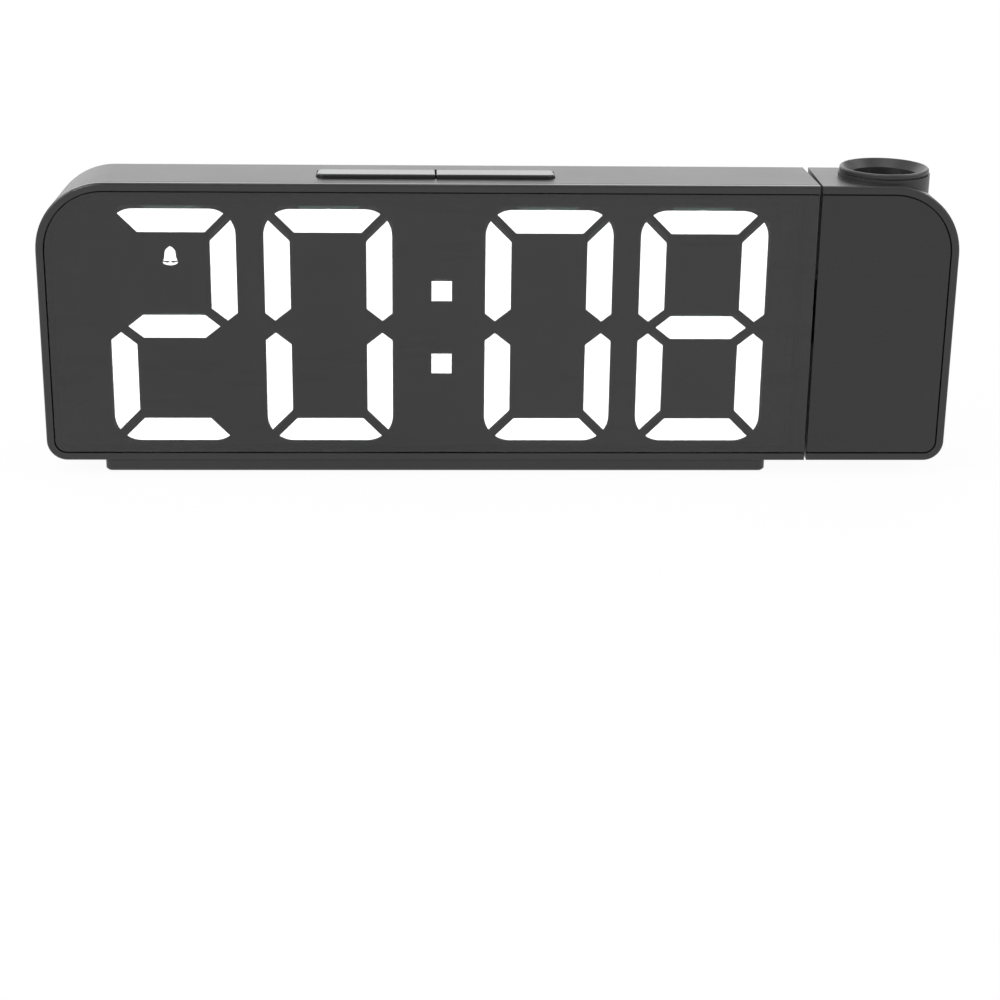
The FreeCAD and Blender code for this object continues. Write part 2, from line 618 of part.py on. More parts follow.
together("key_switches", [piece for count, x in enumerate(("key_middle - 12.2", "key_middle + 12.4"), 1) for piece in (
    box(None, "key_switch_case_%d" % count, (x + " - 3", x + " + 3"), ("board_back", "board_back + 3.5"),
        ("flange_low - 7.1", "flange_low - 4")),
    box(None, "key_switch_tip_%d" % count, (x + " - 1.2", x + " + 1.2"), ("board_back + 0.8", "board_back + 2.8"),
        ("flange_low - 4.2", "flange_low - 3.4")))])
together("rear_switches", [piece for count in range(5) for piece in (
    box(None, "rear_switch_case_%d" % (count + 1),
        ("button_first + %d * button_pitch - 3" % count, "button_first + %d * button_pitch + 3" % count),
        ("board_back", "board_back + 3.5"), ("button_high - 3", "button_high + 3")),
    rod(None, "rear_switch_tip_%d" % (count + 1), "Y",
        ("button_first + %d * button_pitch" % count, "board_back + 3.4", "button_high"), "1.7", "0.9"))])
buzzer = new_body("buzzer")
rod(buzzer, "buzzer_case", "Y", ("sensor_x - 3.65", "board_back", "12"), "6", "8.5")
rod(buzzer, "buzzer_hole", "Y", ("sensor_x - 3.65", "board_back + 7", "12"), "1", "3", cut=True)
jack = new_body("power_jack")
box(jack, "jack_case", ("inlet_x - 3.5", "inlet_x + 3.5"), ("board_back", "cavity_back - 0.1"),
    ("inlet_z - 3.5", "inlet_z + 3.5"))
rod(jack, "jack_nose", "Y", ("inlet_x", "cavity_back - 0.2", "inlet_z"), "inlet_radius - 0.1", "1.1")
rod(jack, "jack_bore", "Y", ("inlet_x", "board_back + 1.6", "inlet_z"), "1.8", "12", cut=True)
jack_pin = new_body("power_jack_pin")
rod(jack_pin, "jack_pin", "Y", ("inlet_x", "board_back + 1.6", "inlet_z"), "0.65", "cavity_back - board_back - 1.2")
cell = new_body("coin_cell")
rod(cell, "cell_can", "Y", ("door_x", "cell_front", "door_z"), "cell_radius", "cell_thick")
rod(cell, "cell_step", "Y", ("door_x", "cell_front - 0.01", "door_z"), "cell_radius - 1.6", "0.1")
contacts = new_body("battery_contacts")
box(contacts, "cell_leaf", ("door_x - 2.5", "door_x + 2.5"), ("well_floor", "well_floor + 0.35"),
    ("door_z - 8.5", "door_z + 8.5"))
together("temperature_sensor", [
    rod(None, "sensor_bead", "Y", ("sensor_x", "cavity_back - 2", "sensor_z"), "0.85", "2.2"),
    rod(None, "sensor_lead", "Y", ("sensor_x", "board_back", "sensor_z"), "0.3", "cavity_back - board_back - 1.9"),
])

# Foot with a rear ledge, its screws and rubber pads.
foot = new_body("base_foot")
foot_outline = outline(foot, "foot_outline", "XY", "-foot_thick", "foot_left", "foot_right", "foot_front",
                       "foot_back", ("foot_nose", "foot_corner", "foot_corner", "foot_nose"))
pad(foot, "foot_plate", foot_outline, "foot_thick + ledge_rise", away=False)
round_edges(foot, "foot_top_edge", "1", lambda b: flat_at(b, "Z", val("ledge_rise"))
            and b.YMax > val("case_depth") + 0.2)
round_edges(foot, "foot_low_edge", "0.4", lambda b: flat_at(b, "Z", -val("foot_thick")), "Chamfer", "Size")
box(foot, "foot_step", ("foot_left - 1", "foot_right + 1"), ("foot_front - 1", "case_depth + 0.1"),
    ("0", "ledge_rise + 1"), cut=True)
for count, x in enumerate(BASE_SCREWS, 1):
    rod(foot, "foot_screw_hole_%d" % count, "Z", (x, "15", "-foot_thick - 1"), "1.3", "foot_thick + 2", cut=True)
    rod(foot, "foot_screw_seat_%d" % count, "Z", (x, "15", "-foot_thick - 1"), "2.5", "2.4", cut=True)
PADS = [("foot_left + 8", "foot_front + 7"), ("foot_left + 8", "foot_back - 7"),
        ("foot_right - 8", "foot_front + 7"), ("foot_right - 8", "foot_back - 7")]
for count, (x, y) in enumerate(PADS, 1):
    rod(foot, "pad_seat_%d" % count, "Z", (x, y, "-foot_thick - 1"), "pad_radius + 0.1", "1 + pad_sunk", cut=True)
together("base_screws", [
    rod(None, "base_screw_%s_%d" % (name, count), "Z", (x, "15", "-foot_thick " + start), radius, length)
    for count, x in enumerate(BASE_SCREWS, 1)
    for name, start, radius, length in (("head", "+ 0.2", "2.2", "1.2"), ("shank", "+ 1.3", "1.1", "foot_thick + 3.5"))])
together("rubber_feet", [
    rod(None, "rubber_pad_%d" % count, "Z", (x, y, "-foot_thick - pad_proud"), "pad_radius", "pad_proud + pad_sunk")
    for count, (x, y) in enumerate(PADS, 1)])

# Hollow neck that joins the pod to the housing, with its nut, washer and cable.
neck = new_body("swivel_neck")
rod(neck, "neck_tube", "X", ("cavity_right - 3.5", "pod_split", "axis_high"), "neck_radius",
    "pod_cavity_left - cavity_right + 5.05")
rod(neck, "neck_flange", "X", ("pod_cavity_left + 0.05", "pod_split", "axis_high"), "neck_radius + 1.5", "1.5")
rod(neck, "neck_bore_cut", "X", ("cavity_right - 5", "pod_split", "axis_high"), "neck_bore", "20", cut=True)
nut = new_body("swivel_nut")
rod(nut, "nut_ring", "X", ("cavity_right - 2.1", "pod_split", "axis_high"), "neck_radius + 1", "2.1")
rod(nut, "nut_bore", "X", ("cavity_right - 5", "pod_split", "axis_high"), "neck_radius + 0.03", "9", cut=True)
washer = new_body("swivel_washer")
rod(washer, "washer_ring", "X", ("case_right - 0.02", "pod_split", "axis_high"), "neck_radius + 1", "slit_gap + 0.04")
rod(washer, "washer_bore", "X", ("case_right - 2", "pod_split", "axis_high"), "neck_radius + 0.1", "5", cut=True)
neck_cable = new_body("swivel_cable")
rod(neck_cable, "cable_in_neck", "X", ("cavity_right - 5", "pod_split", "axis_high - neck_bore + 1.35"), "1.3",
    "pod_cavity_left - cavity_right + 6.3")

# Top keys, lower at the back than at the front, each with a retaining flange and a stem.
for label, start, end, outer, stem, low_flange, high_flange in (
        ("snooze_light_key", "key_left", "key_middle - 0.15", "key_left", "key_middle - 12.2", "0.8", "0"),
        ("projection_key", "key_middle + 0.15", "key_right", "key_right", "key_middle + 12.4", "0", "0.8")):
    key = new_body(label)
    side = polygon(key, label + "_side", "YZ", start,
                   [("key_front", "flange_low"), ("key_back", "flange_low"), ("key_back", "key_back_top"),
                    ("key_front", "key_front_top")])
    pad(key, label + "_cap", side, "(%s) - (%s)" % (end, start), away=False)
    round_edges(key, label + "_corner", "key_corner",
                lambda b, place=outer: flat_at(b, "X", val(place)) and b.YLength < 0.01)
    round_edges(key, label + "_rim", "0.3", lambda b: b.ZMin > val("case_height") - 0.25)
    box(key, label + "_flange", ("%s - %s" % (start, low_flange), "%s + %s" % (end, high_flange)),
        ("key_front - 0.8", "key_back + 0.8"), ("flange_low", "flange_high"))
    box(key, label + "_stem", (stem + " - 1.5", stem + " + 1.5"), ("board_back + 0.4", "board_back + 3.4"),
        ("flange_low - 2.7", "flange_low + 0.2"))

# Round rear buttons with a flange inside the back wall and a stem to the switch.
for count, label in enumerate(("set_button", "alarm_button", "snooze_button", "up_button", "down_button")):
    x = "button_first + %d * button_pitch" % count
    button = new_body(label)
    rod(button, label + "_cap", "Y", (x, "cavity_back - 1.5", "button_high"), "button_radius",
        "back_wall + 1.5 + button_proud")
    round_edges(button, label + "_rim", "0.45", lambda b: b.YMin > val("case_depth") + 0.5 and b.YLength < 0.01,
                "Chamfer", "Size")
    rod(button, label + "_flange", "Y", (x, "cavity_back - 1.5", "button_high"), "button_radius + 0.8", "1.3")
    rod(button, label + "_stem", "Y", (x, "board_back + 5", "button_high"), "1.2", "cavity_back - board_back - 6")

# Battery door: a plate with a rounded edge that turns on two stub pins and a tab on the free side.
door = new_body("battery_door")
box(door, "door_plate", ("door_left + 0.1", "door_right - 0.1"), ("case_depth - door_thick", "case_depth"),
    ("door_low + 0.1", "door_top - 0.1"))
box(door, "door_tab", ("door_right - 0.5", "door_right + 2.55"), ("case_depth - 1.05", "case_depth"),
    ("door_low + 18.1", "door_low + 22.4"))
round_edges(door, "door_hinge_edge", "door_thick / 2 - 0.03", lambda b: flat_at(b, "X", val("door_left") + 0.1)
            and b.YLength < 0.01)
rod(door, "door_hinge_pin", "Z", ("hinge_x", "hinge_y", "door_low - pin_reach"), "pin_radius",
    "door_high + 2 * pin_reach")

# Projector pod: two shells parted at mid depth, which also split the collar around the lens.
POD_SCREWS = [("pod_cavity_left + 2.6", "50"), ("pod_cavity_right - 2.6", "36"), ("lens_x", "7")]


def add_collar(body, label, low_y, high_y):
    """Turn the collar, trim it to one side of the parting plane and open the bore."""
    profile = polygon(body, label + "_collar_profile", "XZ", "pod_split",
                      [("bore_radius", "collar_foot"), ("collar_radius", "collar_foot"),
                       ("collar_radius", "collar_groove_low"), ("collar_chamfer_radius", "collar_groove_low"),
                       ("collar_chamfer_radius", "collar_groove_high"), ("collar_tier_radius", "collar_groove_high"),
                       ("collar_tier_radius", "collar_chamfer_low"), ("collar_chamfer_radius", "collar_top"),
                       ("funnel_radius", "collar_top"), ("bore_radius", "funnel_low")], "lens_x")
    collar = body.newObject("PartDesign::Revolution", label + "_collar")
    collar.Profile = profile
    collar.ReferenceAxis = (profile, ["V_Axis"])
    collar.Angle = 360
    box(body, label + "_collar_trim", ("pod_left - 5", "pod_right + 5"), (low_y, high_y), ("-5", "case_height + 10"),
        cut=True)
    rod(body, label + "_bore", "Z", ("lens_x", "pod_split", "collar_foot - 1"), "bore_radius",
        "funnel_low - collar_foot + 1.05", cut=True)
    rod(body, label + "_neck_hole", "X", ("pod_left - 1", "pod_split", "axis_high"), "neck_radius + 0.05",
        "wall + 2", cut=True)


pod_front = new_body("pod_front_shell")
pod_outline = outline(pod_front, "pod_front_outline", "XZ", "0", "pod_left", "pod_right", "0", "case_height",
                      ("corner_low", "corner_top", None, None))
pad(pod_front, "pod_front_block", pod_outline, "pod_split", "-draft_deg")
round_edges(pod_front, "pod_front_edge", "rim_round",
            lambda b: flat_at(b, "Y", 0) and not flat_at(b, "X", val("pod_left")))
pod_seat = outline(pod_front, "pod_seat_outline", "XZ", "0", "pod_seat_left", "pod_seat_right", "seat_low",
                   "seat_high", ("seat_low_round", "seat_top_round", None, None))
pocket(pod_front, "pod_seat", pod_seat, "panel_back")
pod_hollow = outline(pod_front, "pod_front_cavity_outline", "XZ", "pod_front_inner", "pod_cavity_left",
                     "pod_cavity_right", "cavity_low", "cavity_high", ("cavity_low_round", "cavity_top_round",
                                                                     None, None))
pocket(pod_front, "pod_front_cavity", pod_hollow, "pod_split")
add_collar(pod_front, "pod_front", "pod_split", "case_depth + 5")
for count, (x, z) in enumerate(POD_SCREWS, 1):
    rod(pod_front, "pod_front_boss_%d" % count, "Y", (x, "pod_front_inner - 0.5", z), "2.3",
        "pod_split - pod_front_inner + 0.5")
    rod(pod_front, "pod_front_hole_%d" % count, "Y", (x, "-1", z), "1.15", "pod_split + 2", cut=True)
    rod(pod_front, "pod_front_head_seat_%d" % count, "Y", (x, "0", z), "2.15", "panel_back + 1.3", cut=True)

pod_rear = new_body("pod_rear_shell")
pod_rear_outline = outline(pod_rear, "pod_rear_outline", "XZ", "pod_split", "rear_pod_left", "rear_pod_right",
                           "rear_pod_low", "rear_pod_high", ("rear_pod_low_round", "rear_pod_top_round", None, None))
pad(pod_rear, "pod_rear_block", pod_rear_outline, "case_depth - pod_split", "-draft_deg")
round_edges(pod_rear, "pod_rear_edge", "rear_round", lambda b: flat_at(b, "Y", val("case_depth")))
pod_rear_hollow = outline(pod_rear, "pod_rear_cavity_outline", "XZ", "pod_split", "pod_cavity_left",
                          "pod_cavity_right", "cavity_low", "cavity_high", ("cavity_low_round", "cavity_top_round",
                                                                          None, None))
pocket(pod_rear, "pod_rear_cavity", pod_rear_hollow, "cavity_back - pod_split")
add_collar(pod_rear, "pod_rear", "-5", "pod_split")
for count, (x, z) in enumerate(POD_SCREWS, 1):
    rod(pod_rear, "pod_rear_boss_%d" % count, "Y", (x, "pod_split", z), "2.3", "cavity_back - pod_split + 0.5")
    rod(pod_rear, "pod_rear_hole_%d" % count, "Y", (x, "pod_split - 1", z), "1.02", "8", cut=True)

plate = new_body("pod_front_plate")
plate_outline = outline(plate, "plate_outline", "XZ", "panel_sink", "pod_left", "plate_right", "panel_low",
                        "panel_high", ("panel_low_round", "panel_top_round", None, None))
pad(plate, "plate_sheet", plate_outline, "panel_thick")
round_edges(plate, "plate_edge_round", "0.2", lambda b: flat_at(b, "Y", val("panel_sink")))
together("pod_screws", [
    rod(None, "pod_screw_%s_%d" % (name, count), "Y", (x, start, z), radius, length)
    for count, (x, z) in enumerate(POD_SCREWS, 1)
    for name, start, radius, length in (("head", "panel_back + 0.1", "1.95", "1.2"),
                                        ("shank", "panel_back + 1.2", "1", "pod_split + 3"))])

# Optical train under the collar.
projection_lens = new_body("projection_lens")
rod(projection_lens, "lens_disc", "Z", ("lens_x", "pod_split", "lens_under"), "bore_radius - 0.1", "1.3")
dome_rise = val("lens_apex") - val("lens_edge")
dome_half = val("bore_radius") - 1.1
dome_radius = (dome_half ** 2 + dome_rise ** 2) / (2 * dome_rise)
dome = projection_lens.newObject("PartDesign::AdditiveSphere", "lens_dome")
bind(dome, "Radius", str(round(dome_radius, 3)))
dome.Angle1 = math.degrees(math.asin((dome_radius - dome_rise) / dome_radius))
dome.Angle2 = 90
bind(dome, "Placement.Base.x", "lens_x")
bind(dome, "Placement.Base.y", "pod_split")
bind(dome, "Placement.Base.z", "lens_apex - %s" % round(dome_radius, 3))
retainer = new_body("lens_retainer")
rod(retainer, "retainer_ring", "Z", ("lens_x", "pod_split", "lens_edge"), "bore_radius - 0.05", "0.7")
rod(retainer, "retainer_bore", "Z", ("lens_x", "pod_split", "lens_edge - 1"), "bore_radius - 1", "3", cut=True)
box(retainer, "retainer_notch", ("lens_x - 0.6", "lens_x + 0.6"), ("pod_split - 8", "pod_split - 5"),
    ("lens_edge + 0.3", "lens_edge + 2"), cut=True)
barrel = new_body("lens_barrel")
rod(barrel, "barrel_tube", "Z", ("lens_x", "pod_split", "barrel_low"), "bore_radius - 0.05", "lens_under - barrel_low")
rod(barrel, "barrel_bore", "Z", ("lens_x", "pod_split", "barrel_low - 1"), "bore_radius - 1.2", "40", cut=True)
condenser = new_body("condenser_lens")
rod(condenser, "condenser_disc", "Z", ("lens_x", "pod_split", "barrel_low + 2"), "bore_radius - 1.25", "3")
lcd = new_body("lcd_chip")
box(lcd, "lcd_glass", ("lens_x - 6.5", "lens_x + 6.5"), ("pod_split - 5", "pod_split + 5"),
    ("barrel_low - 1.2", "barrel_low"))
pod_board = new_body("projector_board")
box(pod_board, "projector_board_sheet", ("pod_cavity_left + 2.2", "pod_cavity_right - 0.1"),
    ("pod_front_inner + 0.1", "cavity_back - 0.1"), ("axis_high - 6", "axis_high - 4.6"))
led = new_body("projector_led")
rod(led, "led_base", "Z", ("lens_x", "pod_split", "axis_high - 4.6"), "2.9", "1")
rod(led, "led_body", "Z", ("lens_x", "pod_split", "axis_high - 4.6"), "2.5", "5.5")
round_edges(led, "led_dome", "2.2", lambda b: b.ZMin > val("axis_high") + 0.5 and b.ZLength < 0.01)
together("pod_cable", [
    rod(None, "pod_cable_run", "X", ("pod_cavity_left + 2.2", "pod_split", "axis_high"), "1.2", "1.8"),
    rod(None, "pod_cable_drop", "Z", ("pod_cavity_left + 4", "pod_split", "axis_high - 4.6"), "1.2", "5.4"),
])

doc.recompute()
faults = []
for item in doc.Objects:
    if any(state in ("Invalid", "Error") for state in item.State):
        faults.append(item.Label)
for node in NODES:
    if node.Shape.isNull() or not node.Shape.isValid() or not node.Shape.Solids:
        faults.append(node.Label)
if faults:
    raise RuntimeError("not sound: " + ", ".join(faults))
for node in NODES:
    node.Shape.exportStep("parts/%s.step" % node.Label)
print("sub-parts written: %d" % len(NODES))
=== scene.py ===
import math

import bmesh
import bpy
from bpy.props import FloatProperty, FloatVectorProperty, PointerProperty
from mathutils import Matrix, Vector


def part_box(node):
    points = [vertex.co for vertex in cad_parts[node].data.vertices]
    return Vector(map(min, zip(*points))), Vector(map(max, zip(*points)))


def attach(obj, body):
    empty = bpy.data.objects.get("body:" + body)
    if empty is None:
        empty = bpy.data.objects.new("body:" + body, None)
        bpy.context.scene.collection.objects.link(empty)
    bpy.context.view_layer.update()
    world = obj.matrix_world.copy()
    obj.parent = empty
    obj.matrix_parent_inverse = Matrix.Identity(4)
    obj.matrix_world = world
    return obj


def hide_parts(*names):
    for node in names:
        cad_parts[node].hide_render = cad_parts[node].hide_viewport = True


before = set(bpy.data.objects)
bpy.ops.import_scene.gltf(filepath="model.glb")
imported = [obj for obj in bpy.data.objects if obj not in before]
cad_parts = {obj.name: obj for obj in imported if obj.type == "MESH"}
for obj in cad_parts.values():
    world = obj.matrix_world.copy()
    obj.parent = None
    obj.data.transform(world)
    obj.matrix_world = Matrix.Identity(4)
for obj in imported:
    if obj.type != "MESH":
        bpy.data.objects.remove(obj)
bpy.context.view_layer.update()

bl_info = {
    "name": "Projection Alarm Clock Finish",
    "version": (1, 0, 0),
    "blender": (4, 5, 0),
    "location": "3D View > Sidebar > Clock",
    "description": "Finishes, printed signs and studio stage for a projection alarm clock",
    "category": "Object",
}

MM = 0.001
HOUSING = "housing"


class ClockColours(bpy.types.PropertyGroup):
    """Colours that a user would change."""

    shell: FloatVectorProperty(name="Shell", description="Moulded plastic of the case, foot, keys and pod",
                               subtype="COLOR", size=4, default=(0.019, 0.019, 0.0199, 1))
    lens: FloatVectorProperty(name="Smoked lens", description="Sheet in front of the numerals",
                              subtype="COLOR", size=4, default=(0.030, 0.030, 0.031, 1))
    plate: FloatVectorProperty(name="Pod plate", description="Smooth plate on the front of the pod",
                               subtype="COLOR", size=4, default=(0.010, 0.010, 0.0105, 1))
    lit: FloatVectorProperty(name="Lit numerals", description="Colour of the lit bars",
                             subtype="COLOR", size=4, default=(1.0, 1.0, 1.0, 1))
    ink: FloatVectorProperty(name="Print", description="White ink of the signs under the rear buttons",
                             subtype="COLOR", size=4, default=(0.85, 0.85, 0.85, 1))
    floor: FloatVectorProperty(name="Floor", description="Studio floor",
                               subtype="COLOR", size=4, default=(0.9, 0.9, 0.9, 1))


class ClockSizes(bpy.types.PropertyGroup):
    """Sizes of the grain, the signs and the glow."""

    grain: FloatProperty(name="Grain", description="Size of the moulded grain", subtype="DISTANCE",
                         unit="LENGTH", default=0.22 * MM)
    sign_high: FloatProperty(name="Sign height", description="Height of the signs under the rear buttons",
                             subtype="DISTANCE", unit="LENGTH", default=2.0 * MM)
    print_thick: FloatProperty(name="Print thickness", description="Thickness of an ink layer",
                               subtype="DISTANCE", unit="LENGTH", default=0.02 * MM)
    key_slope: FloatProperty(name="Key slope", description="Fall of the top keys towards the back",
                             subtype="FACTOR", default=0.101)
    lens_cover: FloatProperty(name="Lens cover", description="How much the smoked lens hides",
                              subtype="FACTOR", default=0.8)
    numeral_width: FloatProperty(name="Numeral width", description="Width of one numeral", subtype="DISTANCE",
                                 unit="LENGTH", default=26.3 * MM)
    numeral_height: FloatProperty(name="Numeral height", description="Height of the numerals",
                                  subtype="DISTANCE", unit="LENGTH", default=49.6 * MM)
    numeral_pitch: FloatProperty(name="Numeral pitch", description="Between the two numerals of a pair",
                                 subtype="DISTANCE", unit="LENGTH", default=32.0 * MM)
    numeral_low: FloatProperty(name="Numeral foot", description="Lower edge of the numerals above the table",
                               subtype="DISTANCE", unit="LENGTH", default=6.89 * MM)
    glow: FloatProperty(name="Glow", description="Strength of the lit bars behind the lens", default=32.0)


class ClockStage(bpy.types.PropertyGroup):
    """Camera and lamps."""

    lens_mm: FloatProperty(name="Focal length", description="Camera lens on a 36 mm sensor", default=79.82)
    distance: FloatProperty(name="Distance", description="Camera to target", subtype="DISTANCE",
                            unit="LENGTH", default=484.35 * MM)
    azimuth: FloatProperty(name="Azimuth", description="Camera angle around the clock", subtype="ANGLE",
                           default=math.radians(-2.2))
    elevation: FloatProperty(name="Elevation", description="Camera angle above the table", subtype="ANGLE",
                             default=math.radians(20.08))
    roll: FloatProperty(name="Roll", description="Camera roll", subtype="ANGLE", default=math.radians(0.74))
    target: FloatVectorProperty(name="Target", description="Point at the middle of the picture",
                                subtype="TRANSLATION", size=3, default=(0.88 * MM, -4.6 * MM, -9.74 * MM))
    key_power: FloatProperty(name="Key lamp", description="Power of the lamp at the front left, in watts",
                             default=8.0)
    fill_power: FloatProperty(name="Fill lamp", description="Power of the lamp at the front right, in watts",
                              default=2.5)
    strip_power: FloatProperty(name="Strip lamps", description="Power of the lamp at each side, in watts",
                               default=2.0)
    top_power: FloatProperty(name="Top lamp", description="Power of the narrow lamp above, in watts",
                             default=1.7)
    rear_power: FloatProperty(name="Rear softbox", description="Power of the softbox behind, in watts",
                              default=8.9)
    world_light: FloatProperty(name="Room light", description="Light that the surroundings give",
                               default=0.45)
    world_shine: FloatProperty(name="Room shine", description="Brightness of the surroundings in reflections",
                               default=0.6)


def colours():
    return bpy.context.scene.clock_colours


def sizes():
    return bpy.context.scene.clock_sizes


def stage_settings():
    return bpy.context.scene.clock_stage


# Shader node groups shared by several finishes.


def start_group(name, inputs, outputs):
    """An empty node group with named sockets, and its input and output nodes."""
    tree = bpy.data.node_groups.new(name, "ShaderNodeTree")
    for label, kind, value in inputs:
        socket = tree.interface.new_socket(label, in_out="INPUT", socket_type=kind)
        socket.default_value = value
    for label, kind in outputs:
        tree.interface.new_socket(label, in_out="OUTPUT", socket_type=kind)
    return tree, tree.nodes.new("NodeGroupInput"), tree.nodes.new("NodeGroupOutput")


def add_math(tree, operation, first, second):
    """A math node fed by sockets or numbers; gives back its output."""
    node = tree.nodes.new("ShaderNodeMath")
    node.operation = operation
    for index, value in enumerate((first, second)):
        if isinstance(value, (int, float)):
            node.inputs[index].default_value = value
        else:
            tree.links.new(value, node.inputs[index])
    return node.outputs[0]


def add_noise(tree, scale, detail=3.0, rough=0.55):
    """Noise in the object's own space; the scale is a number or a socket."""
    coordinates = tree.nodes.new("ShaderNodeTexCoord")
    noise = tree.nodes.new("ShaderNodeTexNoise")
    noise.inputs["Detail"].default_value = detail
    noise.inputs["Roughness"].default_value = rough
    tree.links.new(coordinates.outputs["Object"], noise.inputs["Vector"])
    if isinstance(scale, (int, float)):
        noise.inputs["Scale"].default_value = scale
    else:
        tree.links.new(scale, noise.inputs["Scale"])
    return noise.outputs["Fac"]


def moulded_grain_group():
    """Fine mould texture with slow changes of shade and shine, and softened edges."""
    tree, source, result = start_group(
        "Moulded Grain",
        [("Colour", "NodeSocketColor", (0.02, 0.02, 0.02, 1)), ("Shade", "NodeSocketFloat", 0.15),
         ("Grain Size", "NodeSocketFloat", 0.0002), ("Grain Depth", "NodeSocketFloat", 0.2),
         ("Roughness", "NodeSocketFloat", 0.45), ("Spread", "NodeSocketFloat", 0.08),
         ("Edge Radius", "NodeSocketFloat", 0.0001)],
        [("Colour", "NodeSocketColor"), ("Roughness", "NodeSocketFloat"), ("Normal", "NodeSocketVector")])
    links = tree.links
    grain = add_noise(tree, add_math(tree, "DIVIDE", 1.0, source.outputs["Grain Size"]), 2.0)
    slow = add_noise(tree, 38.0)
    drift = add_math(tree, "SUBTRACT", slow, 0.5)
    shade = add_math(tree, "MULTIPLY", drift, source.outputs["Shade"])
    speckle = add_math(tree, "MULTIPLY", add_math(tree, "SUBTRACT", grain, 0.5), source.outputs["Shade"])
    factor = add_math(tree, "ADD", add_math(tree, "ADD", shade, speckle), 1.0)
    tint = tree.nodes.new("ShaderNodeMix")
    tint.data_type = "RGBA"
    tint.blend_type = "MULTIPLY"
    tint.inputs["Factor"].default_value = 1.0
    combine = tree.nodes.new("ShaderNodeCombineColor")
    for name in ("Red", "Green", "Blue"):
        links.new(factor, combine.inputs[name])
    links.new(source.outputs["Colour"], tint.inputs["A"])
    links.new(combine.outputs["Color"], tint.inputs["B"])
    links.new(tint.outputs["Result"], result.inputs["Colour"])
    rough = add_math(tree, "MULTIPLY", drift, source.outputs["Spread"])
    links.new(add_math(tree, "ADD", rough, source.outputs["Roughness"]), result.inputs["Roughness"])
    edge = tree.nodes.new("ShaderNodeBevel")
    edge.samples = 4
    links.new(source.outputs["Edge Radius"], edge.inputs["Radius"])
    bump = tree.nodes.new("ShaderNodeBump")
    bump.inputs["Distance"].default_value = 0.00003
    links.new(source.outputs["Grain Depth"], bump.inputs["Strength"])
    links.new(grain, bump.inputs["Height"])
    links.new(edge.outputs["Normal"], bump.inputs["Normal"])
    links.new(bump.outputs["Normal"], result.inputs["Normal"])
    return tree


def handling_marks_group():
    """Faint wiped smears that change the shine of smooth sheets."""
    tree, source, result = start_group(
        "Handling Marks",
        [("Roughness", "NodeSocketFloat", 0.12), ("Amount", "NodeSocketFloat", 0.1)],
        [("Roughness", "NodeSocketFloat"), ("Mask", "NodeSocketFloat")])
    coordinates = tree.nodes.new("ShaderNodeTexCoord")
    stretch = tree.nodes.new("ShaderNodeMapping")
    stretch.inputs["Scale"].default_value = (40, 40, 220)
    stretch.inputs["Rotation"].default_value = (0, 0.35, 0)
    noise = tree.nodes.new("ShaderNodeTexNoise")
    noise.inputs["Scale"].default_value = 1.0
    noise.inputs["Detail"].default_value = 4.0
    tree.links.new(coordinates.outputs["Object"], stretch.inputs["Vector"])
    tree.links.new(stretch.outputs["Vector"], noise.inputs["Vector"])
    smear = add_math(tree, "MULTIPLY", noise.outputs["Fac"], source.outputs["Amount"])
    tree.links.new(add_math(tree, "ADD", smear, source.outputs["Roughness"]), result.inputs["Roughness"])
    tree.links.new(smear, result.inputs["Mask"])
    return tree


def brushed_metal_group():
    """Fine parallel scratches for plated steel and brass."""
    tree, source, result = start_group(
        "Brushed Metal",
        [("Colour", "NodeSocketColor", (0.6, 0.6, 0.6, 1)), ("Roughness", "NodeSocketFloat", 0.3),
         ("Scratch Depth", "NodeSocketFloat", 0.1)],
        [("Colour", "NodeSocketColor"), ("Roughness", "NodeSocketFloat"), ("Normal", "NodeSocketVector")])
    coordinates = tree.nodes.new("ShaderNodeTexCoord")
    stretch = tree.nodes.new("ShaderNodeMapping")
    stretch.inputs["Scale"].default_value = (600, 600, 9000)
    noise = tree.nodes.new("ShaderNodeTexNoise")
    noise.inputs["Scale"].default_value = 1.0
    tree.links.new(coordinates.outputs["Object"], stretch.inputs["Vector"])
    tree.links.new(stretch.outputs["Vector"], noise.inputs["Vector"])
    fade = tree.nodes.new("ShaderNodeMix")
    fade.data_type = "RGBA"
    fade.inputs["B"].default_value = (0.35, 0.35, 0.35, 1)
    tree.links.new(add_math(tree, "MULTIPLY", noise.outputs["Fac"], 0.25), fade.inputs["Factor"])
    tree.links.new(source.outputs["Colour"], fade.inputs["A"])
    tree.links.new(fade.outputs["Result"], result.inputs["Colour"])
    vary = add_math(tree, "MULTIPLY", noise.outputs["Fac"], 0.2)
    tree.links.new(add_math(tree, "ADD", vary, source.outputs["Roughness"]), result.inputs["Roughness"])
    bump = tree.nodes.new("ShaderNodeBump")
    bump.inputs["Distance"].default_value = 0.00002
    tree.links.new(source.outputs["Scratch Depth"], bump.inputs["Strength"])
    tree.links.new(noise.outputs["Fac"], bump.inputs["Height"])
    tree.links.new(bump.outputs["Normal"], result.inputs["Normal"])
    return tree


GROUP_MAKERS = {
    "Moulded Grain": moulded_grain_group,
    "Handling Marks": handling_marks_group,
    "Brushed Metal": brushed_metal_group,
}


def place_group(tree, name, **values):
    """A node that uses one of the shared groups, made the first time it is asked for."""
    node = tree.nodes.new("ShaderNodeGroup")
    node.node_tree = bpy.data.node_groups.get(name) or GROUP_MAKERS[name]()
    for key, value in values.items():
        node.inputs[key.replace("_", " ")].default_value = value
    return node


def new_finish(name, **values):
    """A material with a Principled shader; plain numbers go straight onto its sockets."""
    material = bpy.data.materials.new(name)
    material.use_nodes = True
    shader = material.node_tree.nodes["Principled BSDF"]
    for key, value in values.items():
        shader.inputs[key.replace("_", " ")].default_value = value
    return material, material.node_tree, shader


